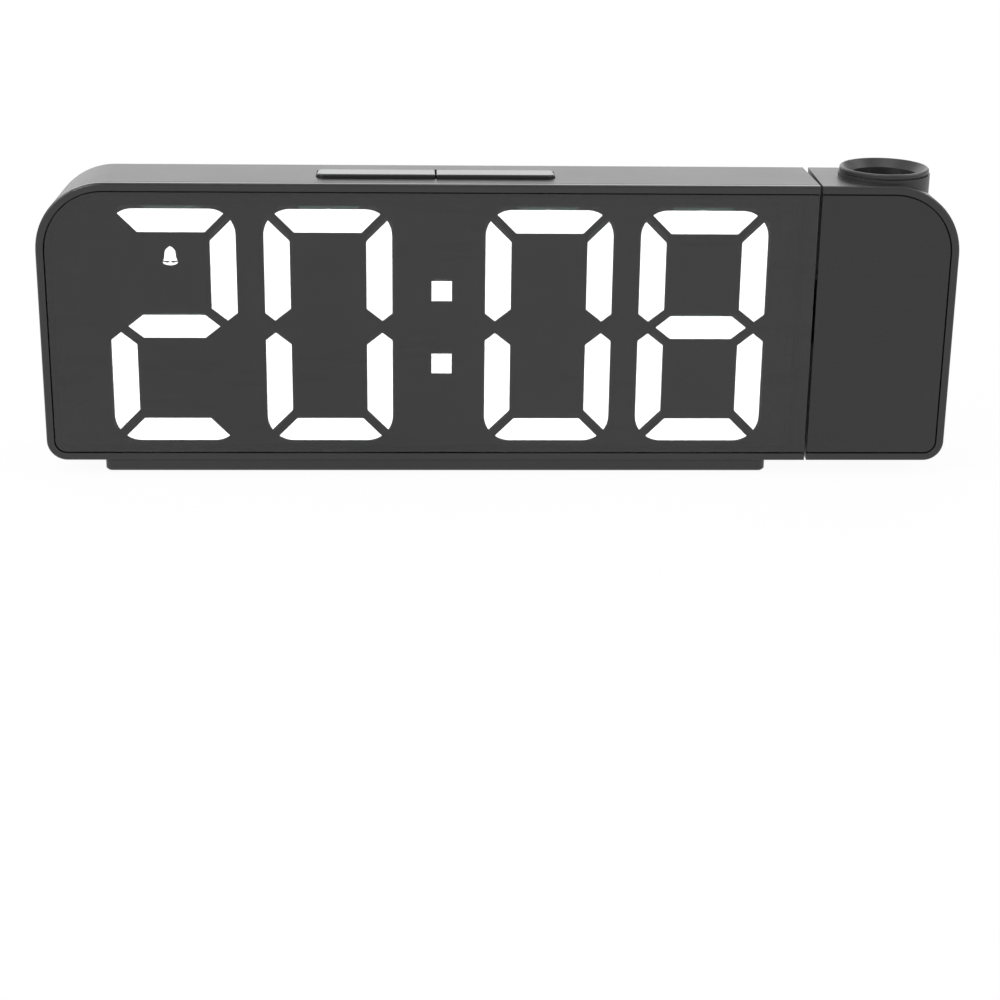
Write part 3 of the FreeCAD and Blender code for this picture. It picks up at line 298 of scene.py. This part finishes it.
def grain_finish(name, colour, roughness, depth=0.2, size=None, edge=0.12 * MM):
    """Moulded plastic, rubber or ink."""
    material, tree, shader = new_finish(name)
    group = place_group(tree, "Moulded Grain", Colour=tuple(colour), Grain_Size=size or sizes().grain,
                        Grain_Depth=depth, Roughness=roughness, Edge_Radius=edge)
    link_finish(tree, group, shader)
    return material


def metal_finish(name, colour, roughness, depth=0.1):
    """Plated steel or brass with fine scratches."""
    material, tree, shader = new_finish(name, Metallic=1.0)
    group = place_group(tree, "Brushed Metal", Colour=tuple(colour), Roughness=roughness, Scratch_Depth=depth)
    link_finish(tree, group, shader)
    return material


def link_finish(tree, group, shader):
    """Feed the colour, roughness and normal of a group into the shader."""
    for output, target in (("Colour", "Base Color"), ("Roughness", "Roughness"), ("Normal", "Normal")):
        tree.links.new(group.outputs[output], shader.inputs[target])


def smooth_sheet_finish(name, colour, roughness, amount, **values):
    """A smooth sheet whose shine and colour change a little where it was wiped."""
    material, tree, shader = new_finish(name, **values)
    group = place_group(tree, "Handling Marks", Roughness=roughness, Amount=amount)
    tree.links.new(group.outputs["Roughness"], shader.inputs["Roughness"])
    wiped = 1.25
    tint = tree.nodes.new("ShaderNodeMix")
    tint.data_type = "RGBA"
    tint.inputs["A"].default_value = tuple(colour)
    tint.inputs["B"].default_value = tuple(channel * wiped for channel in colour[:3]) + (1,)
    tree.links.new(group.outputs["Mask"], tint.inputs["Factor"])
    tree.links.new(tint.outputs["Result"], shader.inputs["Base Color"])
    return material


def lit_bar_finish():
    """Milky plastic lit from behind, faintly mottled."""
    material, tree, shader = new_finish("lit_bar", Roughness=0.5, Emission_Strength=sizes().glow)
    shader.inputs["Base Color"].default_value = (0.8, 0.8, 0.8, 1)
    mottle = add_noise(tree, 300.0, 2.0)
    blend = tree.nodes.new("ShaderNodeMix")
    blend.data_type = "RGBA"
    blend.inputs["A"].default_value = tuple(colours().lit)
    blend.inputs["B"].default_value = (0.95, 0.97, 1.0, 1)
    tree.links.new(mottle, blend.inputs["Factor"])
    tree.links.new(blend.outputs["Result"], shader.inputs["Emission Color"])
    return material


def circuit_board_finish():
    """Solder mask with copper tracks that show through as a lighter green."""
    material, tree, shader = new_finish("solder_mask", Roughness=0.32)
    coordinates = tree.nodes.new("ShaderNodeTexCoord")
    tracks = tree.nodes.new("ShaderNodeTexBrick")
    tracks.inputs["Scale"].default_value = 260.0
    tracks.inputs["Color1"].default_value = (0.012, 0.075, 0.035, 1)
    tracks.inputs["Color2"].default_value = (0.014, 0.09, 0.04, 1)
    tracks.inputs["Mortar"].default_value = (0.03, 0.16, 0.07, 1)
    swap = tree.nodes.new("ShaderNodeMapping")
    swap.inputs["Rotation"].default_value = (math.radians(90), 0, 0)
    tree.links.new(coordinates.outputs["Object"], swap.inputs["Vector"])
    tree.links.new(swap.outputs["Vector"], tracks.inputs["Vector"])
    tree.links.new(tracks.outputs["Color"], shader.inputs["Base Color"])
    bump = tree.nodes.new("ShaderNodeBump")
    bump.inputs["Distance"].default_value = 0.00003
    bump.inputs["Strength"].default_value = 0.4
    tree.links.new(tracks.outputs["Fac"], bump.inputs["Height"])
    tree.links.new(bump.outputs["Normal"], shader.inputs["Normal"])
    return material


def optic_finish(name, tint, coat_tint):
    """A coated glass lens."""
    return smooth_sheet_finish(name, tint, 0.02, 0.03, Transmission_Weight=1.0, IOR=1.5, Coat_Weight=0.3,
                               Coat_Roughness=0.02, Coat_Tint=coat_tint)


def dress(material, *nodes):
    """Give CAD nodes a finish."""
    for name in nodes:
        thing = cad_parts[name]
        thing.data.materials.clear()
        thing.data.materials.append(material)


# Thin signs, drawn in mm on a flat place: u runs to the reader's right and v upwards.

THIN_STROKE = 0.3
WIDE_STROKE = 0.5

# Pairs of numerals: the lit bars, the middle of the pair and the side of it, in mm from the clock's middle.
HOURS_MIDDLE = -51.45
MINUTES_MIDDLE = 26.1
NUMERALS = (("abged", HOURS_MIDDLE, -1), ("abcdef", HOURS_MIDDLE, 1), ("abcdef", MINUTES_MIDDLE, -1),
            ("abcdefg", MINUTES_MIDDLE, 1))
COLON_SIDE = 4.2
COLON_HEIGHTS = (23.76, 39.37)

# Places of films and signs, in metres.
WELD_DISTANCE = 1e-7
FILM_DEPTH = 0.1 * MM
FILM_THICK = 0.17 * MM
BELL_DROP = 0.3 * MM
SIGN_DROP = 9.0 * MM
KEY_FRONT_ROUND = 0.8 * MM
SCREW_HEAD_RADIUS = 2.2 * MM


def arc(radius, start, end, steps, centre=(0, 0)):
    """Points along an arc, angles in degrees."""
    turn = math.radians(end - start) / steps
    first = math.radians(start)
    angles = [first + turn * step for step in range(steps + 1)]
    return [(centre[0] + radius * math.cos(angle), centre[1] + radius * math.sin(angle)) for angle in angles]


def flipped(outline, wide=None, tall=None):
    """An outline mirrored left to right, top to bottom, or both."""
    return [(u if wide is None else wide - u, v if tall is None else tall - v) for u, v in outline]


def triangle(size, up=True):
    """An arrowhead, a tenth wider than it is high."""
    half = size / 2
    outline = [(-half * 1.1, -half), (half * 1.1, -half), (0, half)]
    return outline if up else flipped(outline, 0, 0)


def crescent(radius):
    """A waning moon: an outer arc closed by a shallower inner one."""
    outer = arc(radius, 50, 310, 20)
    inner = arc(radius * 0.82, 292, 68, 16, (radius * 0.34, 0))
    return outer + inner


def bell(high):
    """Crown, waist, flared lip, in one outline."""
    unit = high / 2
    side = [(-1.0, -0.72), (-0.72, -0.4)]
    dome = arc(0.62, 180, 0, 12, (0, 0.3))
    return [(x * unit, y * unit) for x, y in side + dome + [(0.72, -0.4), (1.0, -0.72)]]


def clapper(high):
    """The half disc that hangs under the bell."""
    unit = high / 2
    return [(x * unit, y * unit) for x, y in arc(0.26, 180, 360, 8, (0, -0.82))]


def gear_quads(radius, teeth=8):
    """A toothed ring as four-sided patches, so that its middle stays open."""
    steps, root_share, hole_share = teeth * 4, 0.74, 0.36

    def spot(index, share):
        angle = math.tau * index / steps
        return share * radius * math.cos(angle), share * radius * math.sin(angle)

    rim = [1.0 if index % 4 in (0, 1) else root_share for index in range(steps)]
    return [[spot(index, rim[index]), spot(index + 1, rim[(index + 1) % steps]), spot(index + 1, hole_share),
             spot(index, hole_share)] for index in range(steps)]


def bar_between(start, end, width):
    """A straight stroke as a thin rectangle."""
    direction = (Vector(end) - Vector(start)).normalized()
    side = Vector((-direction.y, direction.x)) * width / 2
    return [tuple(Vector(start) - side), tuple(Vector(end) - side), tuple(Vector(end) + side),
            tuple(Vector(start) + side)]


def disc(radius, centre):
    """A filled circle."""
    return arc(radius, 0, 360, 23, centre)[:-1]


def sun(centre, spokes=8):
    """A disc with short rays around it."""
    ray_start, ray_end = 1.15, 1.75
    outlines = [disc(0.75, centre)]
    for spoke in range(spokes):
        angle = math.tau * spoke / spokes
        direction = Vector((math.cos(angle), math.sin(angle)))
        start, end = (Vector(centre) + direction * reach for reach in (ray_start, ray_end))
        outlines.append(bar_between(start, end, THIN_STROKE))
    return outlines


def beam():
    """A small lamp, the two edges of its widening beam and the wall that it falls on."""
    edges = [bar_between((-1.8, side * 0.5), (1.8, side * 1.5), THIN_STROKE) for side in (1, -1)]
    return [disc(0.9, (-3.2, 0))] + edges + [bar_between((2.6, -1.7), (2.6, 1.7), 0.35)]


def sign_plate(name, outlines, place, thickness, material, body):
    """Closed outlines raised into one thin piece that lies on a surface and rides on a body."""
    mesh = bpy.data.meshes.new(name)
    shape = bmesh.new()
    for outline in outlines:
        shape.faces.new([shape.verts.new((u * MM, v * MM, 0)) for u, v in outline])
    bmesh.ops.remove_doubles(shape, verts=shape.verts, dist=WELD_DISTANCE)
    bmesh.ops.recalc_face_normals(shape, faces=shape.faces)
    raised = bmesh.ops.extrude_face_region(shape, geom=list(shape.faces))
    moved = [item for item in raised["geom"] if isinstance(item, bmesh.types.BMVert)]
    bmesh.ops.translate(shape, verts=moved, vec=(0, 0, thickness))
    bmesh.ops.recalc_face_normals(shape, faces=shape.faces)
    shape.transform(place)
    shape.to_mesh(mesh)
    shape.free()
    mesh.materials.append(material)
    piece = bpy.data.objects.new(name, mesh)
    bpy.context.scene.collection.objects.link(piece)
    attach(piece, body)
    return piece


def back_face_place(x, z, y):
    """Reader stands behind the clock: u runs along -X, v up and the print faces +Y."""
    return Matrix(((-1, 0, 0, x), (0, 0, 1, y), (0, 1, 0, z), (0, 0, 0, 1)))


def key_top_place(x, y, z, slope):
    """Reader stands in front of the clock: u along +X, v backwards down the sloping key."""
    down = math.atan(slope)
    return Matrix.Translation((x, y, z)) @ Matrix.Rotation(-down, 4, "X")


def front_face_place(x, z, y):
    """Reader stands in front of the clock: u along +X, v up and the face looks along -Y."""
    return Matrix(((1, 0, 0, x), (0, 0, -1, y), (0, 1, 0, z), (0, 0, 0, 1)))


def numeral_bars(wide, tall):
    """The seven bars of one numeral in mm from its lower left corner, named a to g.

    The outer edge of all bars together is one rounded rectangle, cut by mitre gaps.
    """
    corner, flat, side, gap, steps = 5.5, 4.85, 5.3, 1.4, 6
    tip_in, slope, half_gap, point = 2.05, 0.79, 1.3, 3.7
    middle, half = tall / 2, flat / 2
    side_end = math.degrees(math.acos(gap / corner / math.sqrt(2))) - 45
    corner_middle = (corner, tall - corner)
    left_arc = arc(corner, 90 + side_end, 90, steps, corner_middle)
    top = left_arc + flipped(left_arc, wide)[::-1]
    top += [(wide - flat - gap, tall - flat), (flat + gap, tall - flat)]
    tip = middle + half_gap
    upper = arc(corner, 180 - side_end, 180, steps, corner_middle)
    upper += [(0, tip + tip_in * slope), (tip_in, tip), (side, tip + (side - tip_in) * slope),
              (side, tall - side - gap)]
    shoulder = point + half / slope
    cross = [(point, middle), (shoulder, middle + half), (wide - shoulder, middle + half),
             (wide - point, middle), (wide - shoulder, middle - half), (shoulder, middle - half)]
    return {"a": top, "d": flipped(top, tall=tall), "f": upper, "b": flipped(upper, wide),
            "e": flipped(upper, tall=tall), "c": flipped(upper, wide, tall), "g": cross}


def alarm_bell():
    """A domed bell and the curved lip under it, which meet in the middle."""
    half = [(0.45, 1.72), (0.85, 1.4), (1.08, 0.9), (1.16, 0.2), (1.24, -0.45), (1.42, -0.98), (1.0, -1.08),
            (0.55, -1.0), (0.15, -1.12), (0.15, -1.38)]
    body = [(0, 2.0)] + half + flipped(half, 0)[::-1]
    underside = [(u * 1.55, v * 0.72 - 1.25) for u, v in arc(1, 180, 360, 14)]
    upper_side = [(1.15, -1.3), (0.65, -1.46), (0.15, -1.38)]
    return [body, underside + upper_side + flipped(upper_side, 0)[::-1]]


def lit_film(name, outlines, x, z, material):
    """Lit outlines as a film sunk into the face of the light box and a little proud of it."""
    place = front_face_place(x, z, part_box("display_reflector")[0].y + FILM_DEPTH)
    return sign_plate(name, outlines, place, FILM_THICK, material, HOUSING)


class CLOCK_OT_shell(bpy.types.Operator):
    """Satin black plastic for the case, frame, foot, pod, buttons and door"""

    bl_idname = "clock.shell"
    bl_label = "Finish the shell"

    def execute(self, context):
        shell = grain_finish("shell_plastic", colours().shell, 0.42)
        dress(shell, "rear_case", "base_foot", "pod_front_shell", "pod_rear_shell", "battery_door")
        frame_black = grain_finish("frame_plastic", colours().shell, 0.3, depth=0.1)
        dress(frame_black, "front_frame")
        key = grain_finish("key_plastic", colours().shell, 0.34, depth=0.08)
        dress(key, "snooze_light_key", "projection_key", "set_button", "alarm_button", "snooze_button",
              "up_button", "down_button")
        rubber = grain_finish("foot_rubber", (0.02, 0.02, 0.02, 1), 0.75, depth=0.5, size=0.4 * MM)
        dress(rubber, "rubber_feet", "swivel_washer")
        return {"FINISHED"}


class CLOCK_OT_display(bpy.types.Operator):
    """Smoked lens, light box and lit bars of the display, and the matching plate on the pod"""

    bl_idname = "clock.display"
    bl_label = "Finish the display"

    def execute(self, context):
        lens = smooth_sheet_finish("smoked_lens", colours().lens, 0.2, 0.12, Alpha=sizes().lens_cover)
        dress(lens, "display_lens")
        plate = smooth_sheet_finish("pod_plate", colours().plate, 0.2, 0.12)
        dress(plate, "pod_front_plate")
        box_black = grain_finish("light_box_black", (0.006, 0.006, 0.006, 1), 0.7, depth=0.1, edge=0.0)
        dress(box_black, "display_reflector")
        dark_bar = grain_finish("dark_bar", (0.006, 0.006, 0.006, 1), 0.6, depth=0.05, edge=0.0)
        dress(dark_bar, "segments_unlit")
        resin = grain_finish("led_resin", (0.7, 0.68, 0.6, 1), 0.2, depth=0.02, edge=0.0)
        dress(resin, "led_chips", "projector_led")
        return {"FINISHED"}


class CLOCK_OT_numerals(bpy.types.Operator):
    """Lit bars of 20:08, the colon and the alarm bell on the face of the light box"""

    bl_idname = "clock.numerals"
    bl_label = "Light the numerals"

    def execute(self, context):
        lit = lit_bar_finish()
        wide, tall, pitch, low = (value / MM for value in (
            sizes().numeral_width, sizes().numeral_height, sizes().numeral_pitch, sizes().numeral_low))
        bars = numeral_bars(wide, tall)
        outlines = []
        for letters, pair_middle, side in NUMERALS:
            left = pair_middle + (side * pitch - wide) / 2
            outlines += [[(u + left, v + low) for u, v in bars[letter]] for letter in letters]
        piece = lit_film("numeral_bars", outlines, 0, 0, lit)
        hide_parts("segments_lit")
        low_corner, top_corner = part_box("colon_dots")
        half = COLON_SIDE / 2
        square = [(-half, -half), (half, -half), (half, half), (-half, half)]
        outlines = [[(u, v + height) for u, v in square] for height in COLON_HEIGHTS]
        piece = lit_film("colon_squares", outlines, (low_corner.x + top_corner.x) / 2, 0, lit)
        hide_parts("colon_dots")
        low_corner, top_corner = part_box("alarm_bell_light")
        middle = (low_corner + top_corner) / 2
        piece = lit_film("alarm_bell", alarm_bell(), middle.x, middle.z - BELL_DROP, lit)
        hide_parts("alarm_bell_light")
        return {"FINISHED"}


class CLOCK_OT_inner_works(bpy.types.Operator):
    """Boards, switches, socket, coin cell, screws and cables"""

    bl_idname = "clock.inner_works"
    bl_label = "Finish the inner works"

    def execute(self, context):
        dress(circuit_board_finish(), "main_board", "projector_board")
        package = grain_finish("component_black", (0.02, 0.02, 0.021, 1), 0.5, depth=0.1, edge=0.0)
        dress(package, "board_components", "key_switches", "rear_switches", "buzzer", "temperature_sensor",
              "lcd_chip")
        socket = grain_finish("socket_plastic", (0.012, 0.012, 0.012, 1), 0.35, depth=0.05)
        dress(socket, "power_jack")
        neck = grain_finish("neck_plastic", (0.012, 0.012, 0.012, 1), 0.4, depth=0.1)
        dress(neck, "swivel_neck", "swivel_nut")
        screw_steel = metal_finish("screw_steel", (0.55, 0.55, 0.56, 1), 0.3)
        dress(screw_steel, "board_screws", "base_screws", "pod_screws")
        dress(metal_finish("cell_steel", (0.66, 0.66, 0.67, 1), 0.25), "coin_cell")
        dress(metal_finish("contact_plating", (0.75, 0.68, 0.5, 1), 0.25), "battery_contacts")
        dress(metal_finish("dark_nickel", (0.09, 0.09, 0.09, 1), 0.35), "power_jack_pin")
        jacket = grain_finish("cable_jacket", (0.02, 0.02, 0.02, 1), 0.5, depth=0.1, edge=0.0)
        dress(jacket, "swivel_cable", "pod_cable")
        return {"FINISHED"}


class CLOCK_OT_projector_optics(bpy.types.Operator):
    """Coated front lens, its retaining ring, the barrel and the condenser"""

    bl_idname = "clock.projector_optics"
    bl_label = "Finish the projector optics"

    def execute(self, context):
        dress(optic_finish("coated_lens", (0.32, 0.32, 0.33, 1), (0.95, 0.96, 1.0, 1)), "projection_lens")
        dress(optic_finish("condenser_glass", (0.9, 0.9, 0.9, 1), (1.0, 1.0, 1.0, 1)), "condenser_lens")
        ring = grain_finish("retainer_black", colours().shell, 0.3, depth=0.05)
        dress(ring, "lens_retainer")
        tube = grain_finish("barrel_black", (0.006, 0.006, 0.006, 1), 0.5, depth=0.1, edge=0.0)
        dress(tube, "lens_barrel")
        return {"FINISHED"}


class CLOCK_OT_button_signs(bpy.types.Operator):
    """White printed signs under the five rear buttons"""

    bl_idname = "clock.button_signs"
    bl_label = "Print the button signs"

    def execute(self, context):
        ink = grain_finish("white_ink", colours().ink, 0.5, depth=0.05, edge=0.0)
        high = sizes().sign_high / MM
        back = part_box("rear_case")[1].y
        drawings = {
            "down_button": [triangle(high, up=False)],
            "up_button": [triangle(high)],
            "snooze_button": [crescent(high / 2)],
            "alarm_button": [bell(high), clapper(high)],
            "set_button": gear_quads(high / 2),
        }
        for name, outlines in drawings.items():
            low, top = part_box(name)
            place = back_face_place((low.x + top.x) / 2, (low.z + top.z) / 2 - SIGN_DROP, back)
            sign_plate(name + "_sign", outlines, place, sizes().print_thick, ink, HOUSING)
        return {"FINISHED"}


class CLOCK_OT_key_signs(bpy.types.Operator):
    """Glossy dark signs on the two top keys and on the battery door"""

    bl_idname = "clock.key_signs"
    bl_label = "Press the key signs"

    def execute(self, context):
        pressed = grain_finish("pressed_sign", (0.010, 0.010, 0.010, 1), 0.22, depth=0.02, edge=0.0)
        moon = [[(u - 3.4, v) for u, v in crescent(1.6)]]
        for name, outlines in (("snooze_light_key", moon + sun((3.4, 0))), ("projection_key", beam())):
            low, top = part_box(name)
            middle_y = (low.y + top.y) / 2
            height = top.z - (middle_y - low.y - KEY_FRONT_ROUND) * sizes().key_slope
            place = key_top_place((low.x + top.x) / 2, middle_y, height, sizes().key_slope)
            sign_plate(name + "_sign", outlines, place, sizes().print_thick, pressed, name + "_body")
        low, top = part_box("battery_door")
        place = back_face_place((low.x + top.x) / 2, (low.z + top.z) / 2, top.y)
        arrow = [bar_between((-3.5, 0), (2.4, 0), WIDE_STROKE), [(2.4, 1.5), (2.4, -1.5), (4.6, 0)]]
        sign_plate("battery_door_sign", arrow, place, sizes().print_thick, pressed, "battery_door_body")
        return {"FINISHED"}


class CLOCK_OT_screw_crosses(bpy.types.Operator):
    """Dark crosses on the screws under the foot"""

    bl_idname = "clock.screw_crosses"
    bl_label = "Mark the screw crosses"

    def execute(self, context):
        shade = grain_finish("cross_shadow", (0.01, 0.01, 0.01, 1), 0.8, depth=0.02, edge=0.0)
        low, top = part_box("base_screws")
        places = (low.x + SCREW_HEAD_RADIUS, (low.x + top.x) / 2, top.x - SCREW_HEAD_RADIUS)
        half = 1.3
        ends = ((half, 0), (0, half))
        cross = [bar_between((-u, -v), (u, v), WIDE_STROKE) for u, v in ends]
        for count, x in enumerate(places, 1):
            place = Matrix.Translation((x, (low.y + top.y) / 2, low.z)) @ Matrix.Rotation(math.pi, 4, "X")
            sign_plate("screw_cross_%d" % count, cross, place, sizes().print_thick, shade, HOUSING)
        return {"FINISHED"}


# Each lamp's place and its width and height in metres, and the setting that holds its power.
LAMPS = {
    "key_lamp": ((-1.0, -0.6, 0.75), (0.9, 0.8), "key_power"),
    "fill_lamp": ((1.0, -0.65, 0.6), (0.4, 0.8), "fill_power"),
    "left_strip": ((-0.8, 0.12, 0.7), (0.3, 0.5), "strip_power"),
    "right_strip": ((0.8, 0.12, 0.7), (0.3, 0.5), "strip_power"),
    "top_lamp": ((0.0, -0.02, 1.1), (0.5, 0.15), "top_power"),
    "rear_softbox": ((0.0, 1.2, 0.47), (1.8, 0.98), "rear_power"),
}
LAMP_AIM = (0, 0, 0.03)
FLOOR_REACH = 4.0
FLOOR_WHITE = 0.95


def add_lamp(name, place, size, power):
    """A rectangular lamp that faces the clock and isn't seen by the camera."""
    lamp = bpy.data.lights.new(name, "AREA")
    lamp.shape = "RECTANGLE"
    lamp.size, lamp.size_y = size
    lamp.energy = power
    thing = bpy.data.objects.new(name, lamp)
    thing.location = place
    thing.rotation_euler = (Vector(LAMP_AIM) - Vector(place)).to_track_quat("-Z", "Y").to_euler()
    thing.visible_camera = False
    bpy.context.scene.collection.objects.link(thing)


def add_seen_mask(tree):
    """1 where the camera, a reflection or a clear material looks, 0 for light that bounces."""
    path = tree.nodes.new("ShaderNodeLightPath")
    both = add_math(tree, "MAXIMUM", path.outputs["Is Camera Ray"], path.outputs["Is Glossy Ray"])
    return add_math(tree, "MAXIMUM", both, path.outputs["Is Transmission Ray"])


def floor_finish():
    """Pale floor that the eye sees nearly white, with the clock's soft shadow left on it."""
    material = bpy.data.materials.new("studio_floor")
    material.use_nodes = True
    tree = material.node_tree
    tree.nodes.clear()
    result = tree.nodes.new("ShaderNodeOutputMaterial")
    matte = tree.nodes.new("ShaderNodeBsdfDiffuse")
    matte.inputs["Color"].default_value = tuple(colours().floor)
    white = tree.nodes.new("ShaderNodeEmission")
    white.inputs["Color"].default_value = (1, 1, 1, 1)
    mix = tree.nodes.new("ShaderNodeMixShader")
    tree.links.new(add_math(tree, "MULTIPLY", add_seen_mask(tree), FLOOR_WHITE), mix.inputs["Fac"])
    tree.links.new(matte.outputs[0], mix.inputs[1])
    tree.links.new(white.outputs[0], mix.inputs[2])
    tree.links.new(mix.outputs[0], result.inputs["Surface"])
    return material


def lay_floor(scene):
    """A level floor under the clock."""
    mesh = bpy.data.meshes.new("studio_floor")
    corners = [(x * FLOOR_REACH, y * FLOOR_REACH, 0) for x, y in ((-1, -1), (1, -1), (1, 1), (-1, 1))]
    mesh.from_pydata(corners, [], [(0, 1, 2, 3)])
    mesh.materials.append(floor_finish())
    floor = bpy.data.objects.new("studio_floor", mesh)
    scene.collection.objects.link(floor)


def light_surroundings(scene, settings):
    """White surroundings that light the clock less than they look, with their own strength in reflections."""
    world = scene.world or bpy.data.worlds.new("studio")
    scene.world = world
    world.use_nodes = True
    tree = world.node_tree
    tree.nodes.clear()
    surroundings = tree.nodes.new("ShaderNodeBackground")
    result = tree.nodes.new("ShaderNodeOutputWorld")
    path = tree.nodes.new("ShaderNodeLightPath")
    seen = add_math(tree, "MAXIMUM", path.outputs["Is Camera Ray"], path.outputs["Is Transmission Ray"])
    seen = add_math(tree, "MULTIPLY", seen, 1.0 - settings.world_light)
    mirrored = add_math(tree, "MULTIPLY", path.outputs["Is Glossy Ray"],
                        settings.world_shine - settings.world_light)
    strength = add_math(tree, "ADD", add_math(tree, "ADD", seen, mirrored), settings.world_light)
    tree.links.new(strength, surroundings.inputs["Strength"])
    surroundings.inputs["Color"].default_value = (1, 1, 1, 1)
    tree.links.new(surroundings.outputs[0], result.inputs["Surface"])


def place_camera(scene, settings):
    """The camera of the front view, turned about its own axis by the roll."""
    azimuth, elevation, roll = settings.azimuth, settings.elevation, settings.roll
    back = Vector((math.sin(azimuth) * math.cos(elevation), -math.cos(azimuth) * math.cos(elevation),
                   math.sin(elevation)))
    side = (-back).cross(Vector((0, 0, 1))).normalized()
    up = side.cross(-back)
    turned_side = side * math.cos(roll) + up * math.sin(roll)
    turned_up = up * math.cos(roll) - side * math.sin(roll)
    camera = bpy.data.objects.new("camera", bpy.data.cameras.new("camera"))
    camera.data.sensor_width = 36.0
    camera.data.lens = settings.lens_mm
    camera.data.clip_start = 0.01
    turn = Matrix((turned_side, turned_up, back)).transposed().to_4x4()
    camera.matrix_world = Matrix.Translation(Vector(settings.target) + back * settings.distance) @ turn
    scene.collection.objects.link(camera)
    scene.camera = camera


class CLOCK_OT_stage(bpy.types.Operator):
    """Floor, white surroundings, soft lamps and the camera"""

    bl_idname = "clock.stage"
    bl_label = "Set the stage"

    def execute(self, context):
        settings = stage_settings()
        scene = context.scene
        scene.view_settings.view_transform = "Standard"
        lay_floor(scene)
        light_surroundings(scene, settings)
        for name, (place, size, power) in LAMPS.items():
            add_lamp(name, place, size, getattr(settings, power))
        place_camera(scene, settings)
        return {"FINISHED"}


STEPS = (CLOCK_OT_shell, CLOCK_OT_display, CLOCK_OT_numerals, CLOCK_OT_inner_works, CLOCK_OT_projector_optics,
         CLOCK_OT_button_signs, CLOCK_OT_key_signs, CLOCK_OT_screw_crosses, CLOCK_OT_stage)


class CLOCK_PT_panel(bpy.types.Panel):
    """Lists the steps that finish the clock."""

    bl_label = "Projection clock"
    bl_idname = "CLOCK_PT_panel"
    bl_space_type = "VIEW_3D"
    bl_region_type = "UI"
    bl_category = "Clock"

    def draw(self, context):
        for step in STEPS:
            self.layout.operator(step.bl_idname)
        for group in (context.scene.clock_colours, context.scene.clock_sizes, context.scene.clock_stage):
            column = self.layout.column()
            for name in group.__annotations__:
                column.prop(group, name)


CLASSES = (ClockColours, ClockSizes, ClockStage) + STEPS + (CLOCK_PT_panel,)


def register():
    for item in CLASSES:
        bpy.utils.register_class(item)
    bpy.types.Scene.clock_colours = PointerProperty(type=ClockColours)
    bpy.types.Scene.clock_sizes = PointerProperty(type=ClockSizes)
    bpy.types.Scene.clock_stage = PointerProperty(type=ClockStage)


def unregister():
    del bpy.types.Scene.clock_stage
    del bpy.types.Scene.clock_sizes
    del bpy.types.Scene.clock_colours
    for item in reversed(CLASSES):
        bpy.utils.unregister_class(item)


def main():
    register()
    for step in STEPS:
        group, name = step.bl_idname.split(".")
        getattr(getattr(bpy.ops, group), name)()


if __name__ == "__main__":
    main()
